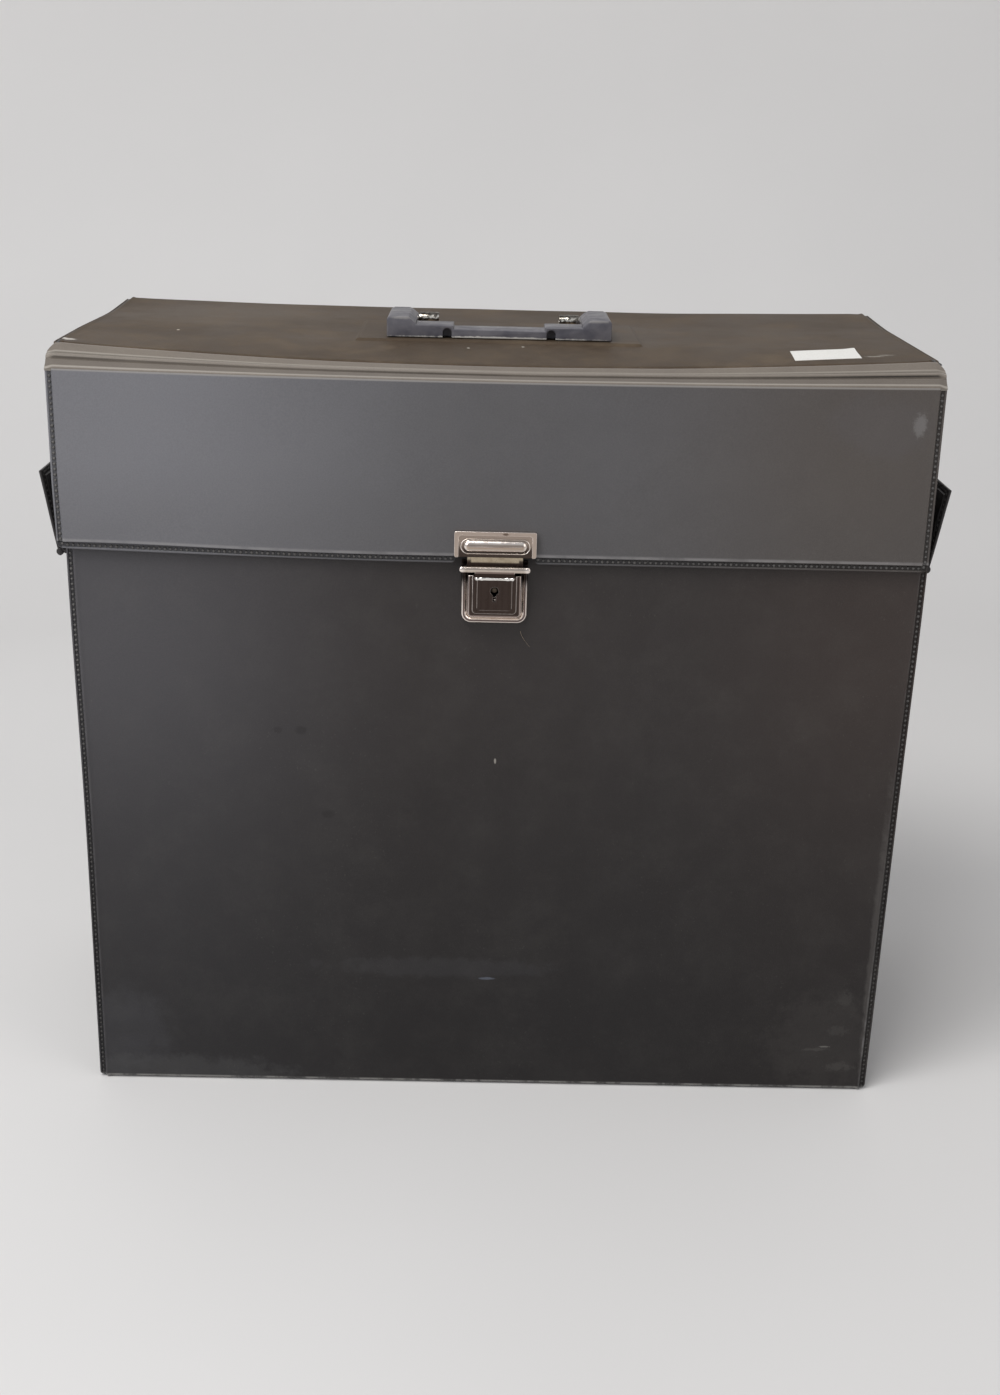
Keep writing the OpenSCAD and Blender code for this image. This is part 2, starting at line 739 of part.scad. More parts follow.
// The pressed hasp plate: a raised rim on three sides and a long rounded bar
module hasp_plate() color([0.8, 0.79, 0.76]) on_front() difference() {
    union() {
        translate([0, 0, tongue_depth]) linear_extrude(hasp_face - tongue_depth)
            rounded(hasp_half, hasp_low, hasp_top, hasp_corner_r);
        translate([0, 0, hasp_face]) linear_extrude(hasp_rim_h) difference() {
            rounded(hasp_half, hasp_low, hasp_top, hasp_corner_r);
            translate([0, -hasp_rim])
                rounded(hasp_half - hasp_rim, hasp_low - past, hasp_top, hasp_corner_in_r);
        }
        hasp_bar();
    }
    box([-tongue_half - slack, tongue_half + slack], [hasp_low - past, hasp_top - hasp_wall],
        [tongue_depth - past, tongue_depth + hasp_cavity]);
}

// The tongue that hangs behind the slider's ledge
module hasp_tongue() color([0.72, 0.7, 0.66]) difference() {
    on_front() translate([0, 0, tongue_depth + slack / 2]) linear_extrude(plate_t - slack / 2)
        low_rounded(tongue_half, tongue_low, hasp_top - hasp_wall - slack, 1.5);
    hasp_holes(rivet_r + slack);
}

module hasp_rivets() color([0.7, 0.7, 0.68]) on_front()
    for (p = hasp_rivets_at) translate([p[0], p[1], 0]) {
    translate([0, 0, flap_gap + slack]) cylinder(h = tongue_end - flap_gap - slack, r = rivet_r);
    translate([0, 0, tongue_end]) cylinder(h = rivet_head_h - slack, r = rivet_head_r);
}

module hasp_backplate() color([0.7, 0.7, 0.68]) difference() {
    on_front() translate([0, 0, flap_gap + slack]) linear_extrude(lining - 2 * slack)
        rounded(hasp_back_half, hasp_back_low, hasp_back_top, 1);
    hasp_holes(rivet_r + slack);
}

// A rolled bar bent into a U, drawn in the plane of the front wall
module rolled_u(half, low, top, bend_r, bar_r) {
    for (s = [-1, 1]) {
        translate([s * half, low + bend_r, 0]) rotate([-90, 0, 0])
            cylinder(h = top - low - bend_r, r = bar_r);
        translate([s * (half - bend_r), low + bend_r, 0]) rotate([0, 0, s > 0 ? 270 : 180])
            rotate_extrude(angle = 90) translate([bend_r, 0]) circle(bar_r);
    }
    translate([-half + bend_r, low, 0]) rotate([0, 90, 0]) cylinder(h = 2 * (half - bend_r), r = bar_r);
}

// The lock's base: a plate with two rolled rims and the springs' stop
module lock_base_plate() color([0.78, 0.77, 0.74]) difference() {
    on_front() union() {
        linear_extrude(plate_t) low_rounded(lock_half, lock_low_z, lock_top_z, base_corner_r);
        translate([0, 0, rim_depth])
            rolled_u(lock_half - rim_r, lock_low_z + rim_r, rim_top, rim_bend, rim_r);
        translate([0, 0, inner_rim_depth])
            rolled_u(inner_rim_x, inner_rim_z, rim_top, inner_rim_bend, inner_rim_r);
        box([-tab_half, tab_half], [lug_top - lug_h, lug_top], [0, block_back - near]);
    }
    lock_holes(rivet_r + slack);
    on_front() translate([0, key_z, -past]) cylinder(h = plate_t + 2 * past, r = post_r + slack);
}

// The plate that spreads the lock's load inside the front wall
module lock_backplate() color([0.7, 0.7, 0.68]) difference() {
    translate([0, stack + plate_t, 0]) on_front() linear_extrude(plate_t)
        rounded(lock_half - backplate_in, lock_low_z + backplate_in, lock_top_z, 2);
    lock_holes(rivet_r + slack);
}

module lock_rivets() color([0.7, 0.7, 0.68]) on_front()
    for (p = lock_rivets_at) translate([p[0], p[1], 0]) {
    translate([0, 0, -stack - plate_t]) cylinder(h = stack + 2 * plate_t, r = rivet_r);
    translate([0, 0, plate_t]) cylinder(h = rivet_head_h, r = rivet_head_r);
}

// The block's three stepped tiers, as [inset, rise of the lower edge, corner, from, to]
slider_tiers = [[0, 0, 2, block_back, block_step + tier_h],
    [1.7, 1.5, 1.5, block_step, tier_depth + face_h / 2],
    [3.6, 3, 1, tier_depth, block_front]];

// The sliding block, its ledge over the tongue and its guides in the base
module lock_slider() color([0.82, 0.81, 0.78]) on_front() difference() {
    union() {
        for (t = slider_tiers) translate([0, 0, t[3]]) linear_extrude(t[4] - t[3])
            low_rounded(slider_half - t[0], block_low + t[1], block_top, t[2]);
        box([-neck_half, neck_half], [block_top - neck_h, ledge_z + ledge_step],
            [ledge_back, block_front + ledge_step]);
        translate([0, 0, ledge_back]) linear_extrude(ledge_front - ledge_back - ledge_step)
            rounded(ledge_half, ledge_z, ledge_z + ledge_h, 1.1);
        translate([0, 0, ledge_back + ledge_sink]) linear_extrude(ledge_front - ledge_back - ledge_sink)
            rounded(ledge_half - ledge_step, ledge_z + ledge_step, ledge_z + ledge_h - ledge_step, 0.7);
        for (s = [0, 1]) mirror([s, 0, 0])
            box([tab_half - tab_w, tab_half], [shelf_z - tab_drop, block_top], [guide_back, guide_front]);
        box([-tab_half, tab_half], [shelf_z, shelf_z + shelf_h], [guide_back, guide_front]);
        box([-tab_half, tab_half], [rib_low, block_top], [guide_back, guide_front]);
    }
    box([-tab_half + tab_w, tab_half - tab_w], [shelf_z + shelf_h, rib_low - near],
        [block_back - past, block_step]);
    translate([0, key_z, block_step - past])
        cylinder(h = block_front - block_step + 2 * past, r = keyhole_r);
    box([-key_slot_half, key_slot_half], [key_z - key_slot_h, key_z], [block_step - past, block_front + past]);
}

// The points of a ring round the coil, and the coil as one closed tube
function coil_point(i, steps, low, high) =
    let (a = 360 * spring_turns * i / steps, z = low + (high - low) * i / steps)
    [spring_r * cos(a), spring_r * sin(a), z];
function coil_ring(i, steps, low, high, sides) =
    let (a = 360 * spring_turns * i / steps, c = coil_point(i, steps, low, high))
    [for (k = [0 : sides - 1]) let (b = 360 * k / sides)
        c + wire_r * [cos(b) * cos(a), cos(b) * sin(a), sin(b)]];

module coil(low, high) {
    sides = 6;
    steps = 12 * spring_turns;
    points = [for (i = [0 : steps]) each coil_ring(i, steps, low + wire_r, high - wire_r, sides)];
    walls = [for (i = [0 : steps - 1], k = [0 : sides - 1])
        let (a = i * sides, b = a + sides, n = (k + 1) % sides)
        each [[a + k, b + k, b + n], [a + k, b + n, a + n]]];
    first = [for (k = [1 : sides - 2]) [0, k, k + 1]];
    last = [for (k = [1 : sides - 2]) [steps * sides, steps * sides + k + 1, steps * sides + k]];
    polyhedron(points = points, faces = concat(walls, first, last));
}

// Two compression springs between the base's stop and the slider's shelf
module lock_springs() color([0.75, 0.75, 0.72]) for (s = [-1, 1])
    translate([s * spring_x, front_y - spring_depth, 0]) coil(lug_top + slack, shelf_z - slack);

// The cam that the key turns: its lobe blocks the slider's upper rib
module key_cam() color([0.66, 0.6, 0.42]) on_front() translate([0, key_z, guide_back]) difference() {
    union() {
        cylinder(h = block_back - guide_back - near, r = hub_r);
        linear_extrude(lobe_t) {
            translate([0, -lobe_half]) square([lobe_r - lobe_half, 2 * lobe_half]);
            translate([lobe_r - lobe_half, 0]) circle(lobe_half);
        }
    }
    translate([0, 0, -past]) cylinder(h = block_back + 2 * past, r = post_r + run_fit);
}

module key_post() color([0.7, 0.68, 0.6]) on_front() translate([0, key_z, 0])
    cylinder(h = post_tip, r = post_r);

wrap_cover();
front_board();
base_board();
back_board();
wrap_lining();
side_cover(-1);  // side_cover_left
side_cover(1);  // side_cover_right
side_board(-1);  // side_board_left
side_board(1);  // side_board_right
side_lining(-1);  // side_lining_left
side_lining(1);  // side_lining_right
ear_strip(-1);  // ear_strip_left
ear_strip(1);  // ear_strip_right
ear_cover(-1);  // ear_cover_left
ear_cover(1);  // ear_cover_right
ear_board(-1);  // ear_board_left
ear_board(1);  // ear_board_right
lid_cover();
lid_board();
lid_lining();
handle_stiffener();
handle_bracket(-1);  // handle_bracket_left
handle_bracket(1);  // handle_bracket_right
bracket_rivets();
rivet_washers();
handle_grip();
handle_pins();
flap_cover();
flap_board();
flap_lining();
hasp_plate();
hasp_tongue();
hasp_rivets();
hasp_backplate();
lock_base_plate();
lock_backplate();
lock_rivets();
lock_slider();
lock_springs();
key_cam();
key_post();
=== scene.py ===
"""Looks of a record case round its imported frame: welded vinyl, stitching, folding handle and lock.

Sizes are in millimetres until a mesh is made, and metres from there on.
"""

import logging
import math
from dataclasses import dataclass, field
from enum import Enum
from typing import Callable, Sequence

import bmesh
import bpy
import numpy as np
from mathutils import Matrix, Vector


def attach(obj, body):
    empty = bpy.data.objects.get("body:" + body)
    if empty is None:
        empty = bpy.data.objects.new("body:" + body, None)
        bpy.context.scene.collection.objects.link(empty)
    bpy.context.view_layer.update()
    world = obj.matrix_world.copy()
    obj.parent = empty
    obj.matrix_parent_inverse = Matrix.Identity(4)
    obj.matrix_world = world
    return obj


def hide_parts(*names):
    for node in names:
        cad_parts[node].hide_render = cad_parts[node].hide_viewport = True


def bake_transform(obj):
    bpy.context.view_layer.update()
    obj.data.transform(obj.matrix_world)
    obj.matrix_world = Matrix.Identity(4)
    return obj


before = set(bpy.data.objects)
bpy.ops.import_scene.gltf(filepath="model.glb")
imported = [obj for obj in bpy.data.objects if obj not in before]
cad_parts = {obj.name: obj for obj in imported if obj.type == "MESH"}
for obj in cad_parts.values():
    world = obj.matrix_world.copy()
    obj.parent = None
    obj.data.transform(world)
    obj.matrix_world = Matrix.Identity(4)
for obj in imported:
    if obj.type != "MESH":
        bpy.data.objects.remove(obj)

MM = 0.001
LOG = logging.getLogger("record_case")

# Angles in degrees: past which an edge is sharp, the same for round pieces, and from which an edge is eased.
SHARP = 35.0
SHARP_ROUND = 60.0
EASED_FROM = 34.0
# Turns in degrees between two faces of one curved surface.
CURVE_TURNS = (1.5, 17.0)

Array = np.ndarray
Pair = tuple[float, float]
Triple = tuple[float, float, float]
Colour = Triple
Piece = bpy.types.Object
Socket = bpy.types.NodeSocket
Layers = Sequence[tuple[Socket, Colour]]


class Body(Enum):
    """The bodies that pieces ride on."""

    CASE = "case_body"
    LID = "lid"
    FLAP = "flap"
    HANDLE = "handle"
    EAR_LEFT = "ear_left"
    EAR_RIGHT = "ear_right"
    SLIDER = "slider"
    CAM = "cam"


class Slot(Enum):
    """The record's material slots."""

    VINYL_BODY = "vinyl_body"
    VINYL_LID = "vinyl_lid"
    VINYL_FLAP = "vinyl_flap"
    CHIPBOARD = "chipboard"
    LINING = "lining"
    PLASTIC = "handle_plastic"
    NICKEL = "nickel"
    STEEL = "steel"
    BRASS = "brass"


class Side(Enum):
    """The two ends of the case, as the sign of X."""

    LEFT = -1
    RIGHT = 1

    @property
    def word(self) -> str:
        """The side's name, as the frame's nodes use it."""
        return self.name.lower()


# ---- numbers and curves


def ease(t: Array | float) -> Array:
    """A smooth step from 0 to 1."""
    t = np.clip(t, 0.0, 1.0)
    return t * t * (3 - 2 * t)


def bell(t: Array | float, width: float) -> Array:
    """A bell curve of height 1 round 0."""
    return np.exp(-((t / width) ** 2))


def rounded(distance: Array, radius: float) -> Array:
    """Share of a sheet's thickness at a distance from its rounded edge."""
    return np.sqrt(np.clip(1 - np.clip(1 - distance / radius, 0, 1) ** 2, 0.0, 1))


def full_turn(count: int) -> Array:
    """Angles once round, evenly apart."""
    return np.linspace(0, 2 * math.pi, count + 1)[:-1]


def undulation(a: Array, b: Array, height: float, seed: int, short: float = 60, long: float = 170) -> Array:
    """Slow waves over a panel.

    Args:
        a: One coordinate of each point, in millimetres.
        b: The other coordinate.
        height: Rough height of the waves.
        seed: Seed of the waves' directions.
        short: Shortest wave.
        long: Longest wave.

    Returns:
        The height at each point.
    """
    draw = np.random.default_rng(seed)
    total = np.zeros(np.broadcast(a, b).shape)
    for _ in range(8):
        turn, phase = draw.uniform(0, 2 * math.pi, 2)
        k = 2 * math.pi / draw.uniform(short, long)
        total += draw.uniform(0.4, 1) * np.sin(k * (a * math.cos(turn) + b * math.sin(turn)) + phase)
    return height * total / 4


@dataclass(frozen=True)
class Crease:
    """A soft ridge along a straight line on a panel, fading at its ends."""

    start: Pair
    end: Pair
    height: float
    width: float
    fade: float = 0.3

    def rise(self, a: Array, b: Array) -> Array:
        """How far the crease stands out at each point."""
        run = np.subtract(self.end, self.start)
        length = float(np.hypot(*run))
        along = ((a - self.start[0]) * run[0] + (b - self.start[1]) * run[1]) / length
        across = ((a - self.start[0]) * run[1] - (b - self.start[1]) * run[0]) / length
        inside = ease(along / (self.fade * length)) * ease((length - along) / (self.fade * length))
        return self.height * bell(across, self.width) * inside


FRONT_CREASES = (
    Crease((-166, 208), (-120, 196), 0.16, 2.2),
    Crease((-160, 190), (-128, 176), 0.16, 2.2),
    Crease((-164, 176), (-140, 170), 0.16, 2.2),
)
FLAP_CREASES = (
    Crease((-56, 262), (-8, 296), 0.22, 2.6),
    Crease((-34, 258), (4, 280), 0.18, 2.4),
    Crease((-70, 280), (-20, 306), 0.14, 3.0),
    Crease((40, 262), (84, 300), 0.16, 3.4),
    Crease((18, 300), (60, 306), 0.14, 2.6),
)


FINE_STEPS = (0, 0.12, 0.28, 0.45, 0.72, 0.84, 0.96, 1.1, 1.6, 2.1, 2.22, 2.34, 2.46, 2.58,
              2.7, 2.82, 2.95, 3.15, 3.45, 3.85, 4.4, 5.2, 6.4, 8.2, 10.4)
FINE_MARKS = (-2.2, -1.2, -0.6, -0.2, 0.2, 0.6, 1.2, 2.2)


def ruler(low: float, high: float, step: float, fine: tuple[bool, bool] = (True, True),
          marks: Sequence[float] = ()) -> Array:
    """Places of grid lines, close together at welded edges and at marks.

    Args:
        low: First place.
        high: Last place.
        step: Largest gap between lines.
        fine: Whether the low and the high end carry a welded margin.
        marks: Places with finer lines round them.

    Returns:
        The places in rising order.
    """
    places = {low, high}
    start, end = low, high
    if fine[0]:
        places |= {low + s for s in FINE_STEPS}
        start = low + FINE_STEPS[-1]
    if fine[1]:
        places |= {high - s for s in FINE_STEPS}
        end = high - FINE_STEPS[-1]
    count = max(1, math.ceil((end - start) / step))
    places |= set(np.linspace(start, end, count + 1).tolist())
    for mark in marks:
        places = {p for p in places if abs(p - mark) > FINE_MARKS[-1] + 0.3 or p in (low, high)}
        places |= {mark + m for m in FINE_MARKS}
    line = np.array(sorted(places))
    return line[np.concatenate([[True], np.diff(line) > 1e-6])]


@dataclass(frozen=True)
class Weld:
    """The welded margin of a padded panel."""

    margin: float = 2.6
    step: float = 0.72
    bead: float = 0.28
    channel: float = 0.45
    run: float = 1.6
    half_channel: float = 0.72

    def relief(self, distance: Array) -> Array:
        """Height over the padded face at a distance from the panel's welded edge."""
        low = 1 - ease((distance - self.margin + 0.15) / 0.5)
        bead = self.bead * bell(distance - self.margin - 0.85, 0.75)
        sunk = ease((self.half_channel + 0.12 - np.abs(distance - self.run)) / 0.24)
        edge = 0.3 * ease(1 - distance / 0.4)
        return bead - low * (self.step + self.channel * sunk) - edge

    @property
    def stitch_depth(self) -> float:
        """How far the bottom of the stitch channel lies under the padded face."""
        return self.step + self.channel


WELD = Weld()


@dataclass(frozen=True)
class Spread:
    """How the body has spread in X: towards its top, and most of all at its front right."""

    half_width: float = 171.0
    reach: float = 1.3
    low: float = 110.0
    high: float = 240.0
    heights: tuple[float, ...] = (0, 120, 180, 240, 298)
    leans: tuple[float, ...] = (0.2, 1.9, 2.15, 2.5, 1.2)
    front: Pair = (-72.5, -79.5)
    right: Pair = (60.0, 165.0)

    def place(self, x: Array, y: Array, z: Array) -> Array:
        """Moves points of the body in X, as it has spread.

        Args:
            x, y, z: The points, in millimetres.

        Returns:
            Their new places in X.
        """
        lean = np.interp(z, self.heights, self.leans)
        lean = lean * ease((self.front[0] - y) / (self.front[0] - self.front[1]))
        lean = lean * ease((x - self.right[0]) / (self.right[1] - self.right[0]))
        return x * (1 + self.reach / self.half_width * ease((z - self.low) / (self.high - self.low))) + lean


SPREAD = Spread()


@dataclass(frozen=True)
class LidShape:
    """How the lid has warped: its front sags in the middle and its ends have lifted."""

    half_width: float = 174.0
    corner: float = 2.2
    corner_run: Pair = (7.0, 14.0)
    front: float = -73.0
    back: float = 71.0
    top: float = 322.0
    strip_top: float = 321.7
    flap_top: float = 313.5
    flap_lift: float = 1.5
    flap_power: float = 1.8
    sag: float = 4.0
    sag_from: float = -36.0
    end_lift: float = 1.8
    end_run: Pair = (62.0, 110.0)
    back_lift: float = 1.5
    back_from: float = 27.0
    flare_reach: float = 1.5
    flare_from: float = 104.0
    flare_fade: Pair = (30.0, 60.0)

    def warp(self, x: Array, y: Array) -> Array:
        """How far the lid has sagged or lifted, zero round the handle.

        Args:
            x, y: Places on the lid, in millimetres.

        Returns:
            The change of height at each.
        """
        s = np.abs(x) / self.half_width
        fore = np.clip((self.sag_from - y) / (self.sag_from - self.front), 0, 1)
        dip = self.sag * (1 - s ** 1.8) * fore ** 1.4
        start, run = self.end_run
        ends = self.end_lift * np.clip((np.abs(x) - start) / run, 0, 1) ** 1.3
        back = self.back_lift * np.clip((y - self.back_from) / (self.back - self.back_from), 0, 1) ** 1.2
        return -dip + ends + back

    def flare(self, x: Array) -> Array:
        """Change of X towards the left end, where lid and flap have spread."""
        return -self.flare_reach * ease((-x - self.flare_from) / (self.half_width - self.flare_from))

    def plan(self, x: Array, y: Array) -> Array:
        """Places in X with the lid's front corners drawn in."""
        ahead, beside = self.corner_run
        inset = self.corner * np.clip(1 - (y - self.front) / ahead, 0, 1) ** 2
        drawn = x - np.sign(x) * inset * ease(1 - (self.half_width - np.abs(x)) / beside)
        start, run = self.flare_fade
        return drawn + self.flare(x) * ease((start - y) / run)

    def flap_edge(self, x: Array) -> Array:
        """Height of the flap's upper edge."""
        return self.flap_top + self.flap_lift * (np.abs(x) / self.half_width) ** self.flap_power


SHAPE = LidShape()


@dataclass(frozen=True)
class Hang:
    """How the flap's vinyl hangs under its board: less at the left, none at the lock."""

    drop: float = 3.0
    lift: float = 2.5
    start: float = -35.0
    run: float = 135.0
    power: float = 1.4
    lock_half: float = 14.8
    lock_blend: float = 2.2
    low: float = 6.0
    fade: float = 50.0

    def change(self, x: Array, up: Array) -> Array:
        """How far the vinyl has dropped.

        Args:
            x: Places along the flap.
            up: Heights over its lower edge.

        Returns:
            The change of height at each.
        """
        lifted = self.lift * np.clip((self.start - x) / self.run, 0, 1.05) ** self.power
        beside = ease((np.abs(x) - self.lock_half) / self.lock_blend)
        return (lifted - self.drop) * beside * (1 - ease((up - self.low) / self.fade))


HANG = Hang()


# ---- meshes


def plain_mesh(name: str, points: Array, faces: Array | list[list[int]], sharp: float) -> Piece:
    """A closed mesh object with outward faces, smooth up to an angle.

    Args:
        name: The piece's name.
        points: Its points in millimetres.
        faces: Its faces.
        sharp: Angle in degrees past which an edge is sharp.

    Returns:
        The object, at the origin.
    """
    mesh = bpy.data.meshes.new(name)
    corners = faces if isinstance(faces, list) else faces.tolist()
    mesh.from_pydata((np.asarray(points, float) * MM).tolist(), [], corners)
    work = bmesh.new()
    work.from_mesh(mesh)
    bmesh.ops.remove_doubles(work, verts=work.verts, dist=1e-7)
    bmesh.ops.recalc_face_normals(work, faces=work.faces)
    work.to_mesh(mesh)
    work.free()
    smooth_mesh(mesh, sharp)
    return link_object(name, mesh)


def link_object(name: str, mesh: bpy.types.Mesh) -> Piece:
    """An object for a mesh, in the scene."""
    piece = bpy.data.objects.new(name, mesh)
    bpy.context.scene.collection.objects.link(piece)
    return piece


def smooth_mesh(mesh: bpy.types.Mesh, sharp: float) -> None:
    """Shades a mesh smooth, with sharp edges past an angle in degrees."""
    mesh.polygons.foreach_set("use_smooth", [True] * len(mesh.polygons))
    mesh.set_sharp_from_angle(angle=math.radians(sharp))
    mesh.update()


def grid_faces(rows: int, columns: int, offset: int = 0) -> Array:
    """The quads of a grid of points."""
    r, c = np.mgrid[0:rows - 1, 0:columns - 1]
    first = (r * columns + c + offset).ravel()
    return np.stack([first, first + 1, first + columns + 1, first + columns], -1)


def ring_faces(rings: int, count: int, closed: bool = False) -> list[list[int]]:
    """The faces along a row of rings of points.

    Args:
        rings: How many rings there are.
        count: How many points each ring has.
        closed: Whether the last ring joins the first; else both ends are capped.

    Returns:
        The faces.
    """
    faces = []
    for ring in range(rings if closed else rings - 1):
        near, far = ring * count, (ring + 1) % rings * count
        faces += [[near + i, near + (i + 1) % count, far + (i + 1) % count, far + i] for i in range(count)]
    if not closed:
        faces += [list(range(count)), list(range((rings - 1) * count, rings * count))[::-1]]
    return faces


def shell(name: str, outer: Array, inner: Array, sharp: float = SHARP) -> Piece:
    """A closed sheet between two grids of points.

    Args:
        name: The piece's name.
        outer: Rows by columns by three, in millimetres.
        inner: The same for the hidden face.
        sharp: Angle in degrees past which an edge is sharp.

    Returns:
        The object.
    """
    rows, columns = outer.shape[:2]
    count = rows * columns
    index = np.arange(count).reshape(rows, columns)
    loop = np.concatenate([index[0, :-1], index[:-1, -1], index[-1, :0:-1], index[:0:-1, 0]])
    after = np.roll(loop, -1)
    rim = np.stack([loop, loop + count, after + count, after], -1)
    faces = np.concatenate([grid_faces(rows, columns), grid_faces(rows, columns, count)[:, ::-1], rim])
    return plain_mesh(name, np.concatenate([outer.reshape(-1, 3), inner.reshape(-1, 3)]), faces, sharp)


def stacked(x: Array, y: Array, z: Array) -> Array:
    """Points from three arrays of one shape."""
    return np.stack(np.broadcast_arrays(x, y, z), -1)


def evaluated_mesh(piece: Piece) -> bpy.types.Mesh:
    """A plain mesh of an object with its modifiers applied."""
    graph = bpy.context.evaluated_depsgraph_get()
    return bpy.data.meshes.new_from_object(piece.evaluated_get(graph))


def node_mesh(node: str) -> bmesh.types.BMesh:
    """The merged triangles of a copy of a CAD node."""
    work = bmesh.new()
    work.from_mesh(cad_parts[node].data)
    bmesh.ops.remove_doubles(work, verts=work.verts, dist=1e-6)
    return work


def rounded_bar(name: str, half: float, centre: Triple, reach: Pair,
                swell: Callable[[Array], Array] = np.ones_like) -> Piece:
    """A bar along X with an oval section and round ends.

    Args:
        name: The piece's name.
        half: Half its length in millimetres.
        centre: Its middle.
        reach: Half sizes of its section along Y and Z.
        swell: Share of the section at each place from -1 to 1 along the bar.

    Returns:
        The object.
    """
    t = np.sin(np.linspace(-math.pi / 2, math.pi / 2, 41))[1:-1]
    inset = np.clip(np.abs(t) * half - (half - reach[1]), 0, None) / reach[1]
    share = np.sqrt(np.clip(1 - inset ** 2, 0.01, 1)) * swell(t)
    turn = full_turn(16)
    points = stacked((centre[0] + half * t)[:, None], centre[1] + reach[0] * share[:, None] * np.sin(turn),
                     centre[2] + reach[1] * share[:, None] * np.cos(turn))
    return plain_mesh(name, points.reshape(-1, 3), ring_faces(len(t), len(turn)), SHARP_ROUND)


def pill_wire(name: str, half: Pair, centre: Triple, radius: float) -> Piece:
    """A closed wire along the outline of a long pill that stands in a plane facing -Y.

    Args:
        name: The piece's name.
        half: Half the outline's length and half its height.
        centre: The outline's middle.
        radius: The wire's radius.

    Returns:
        The object.
    """
    bend = half[1]
    turn = np.linspace(-math.pi / 2, math.pi / 2, 13)
    right = np.stack([half[0] - bend + bend * np.cos(turn), bend * np.sin(turn)], -1)
    loop = np.concatenate([right, -right])
    ahead = np.roll(loop, -1, 0) - np.roll(loop, 1, 0)
    outward = np.stack([ahead[:, 1], -ahead[:, 0]], -1) / np.linalg.norm(ahead, axis=1)[:, None]
    around = full_turn(8)
    flat = loop[:, None] + outward[:, None] * (radius * np.cos(around))[None, :, None]
    forward = -(radius * np.sin(around))[None]
    points = stacked(centre[0] + flat[..., 0], centre[1] + forward, centre[2] + flat[..., 1])
    return plain_mesh(name, points.reshape(-1, 3), ring_faces(len(loop), len(around), closed=True), SHARP_ROUND)


def bevelled_copy(node: str, name: str, width: float, segments: int = 2) -> Piece:
    """A copy of a rigid CAD node with its crisp edges eased.

    Args:
        node: The CAD node.
        name: The new piece's name.
        width: Width of the eased edges, in millimetres.
        segments: Faces across an eased edge.

    Returns:
        The object, which replaces the node.
    """
    work = node_mesh(node)
    bmesh.ops.dissolve_limit(work, angle_limit=math.radians(0.3), verts=work.verts, edges=work.edges)
    mesh = bpy.data.meshes.new(name)
    work.to_mesh(mesh)
    work.free()
    piece = link_object(name, mesh)
    bevel = piece.modifiers.new("eased", "BEVEL")
    bevel.width = width * MM
    bevel.segments = segments
    bevel.limit_method = "ANGLE"
    bevel.angle_limit = math.radians(EASED_FROM)
    bevel.use_clamp_overlap = False
    piece.data = evaluated_mesh(piece)
    piece.modifiers.clear()
    piece.data.name = name
    smooth_mesh(piece.data, SHARP)
    level_faces(piece.data)
    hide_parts(node)
    return piece


def level_faces(mesh: bpy.types.Mesh, width: float = 0.8) -> None:
    """Shades broad flat faces flat, where they lie on no curved surface.

    Args:
        mesh: The mesh, shaded smooth.
        width: Least width of a broad face, in millimetres.
    """
    work = bmesh.new()
    work.from_mesh(mesh)
    work.faces.ensure_lookup_table()
    for face, polygon in zip(work.faces, mesh.polygons):
        longest = max(edge.calc_length() for edge in face.edges)
        turns = [math.degrees(edge.calc_face_angle(0.0)) for edge in face.edges]
        curved = any(CURVE_TURNS[0] < turn < CURVE_TURNS[1] for turn in turns)
        if face.calc_area() / longest > width * MM and not curved:
            polygon.use_smooth = False
    work.free()
    mesh.update()


# ---- finishes


# The colour sockets of a mix node, which share their names with its other kinds.
COLOUR_A, COLOUR_B, COLOUR_OUT = 6, 7, 2


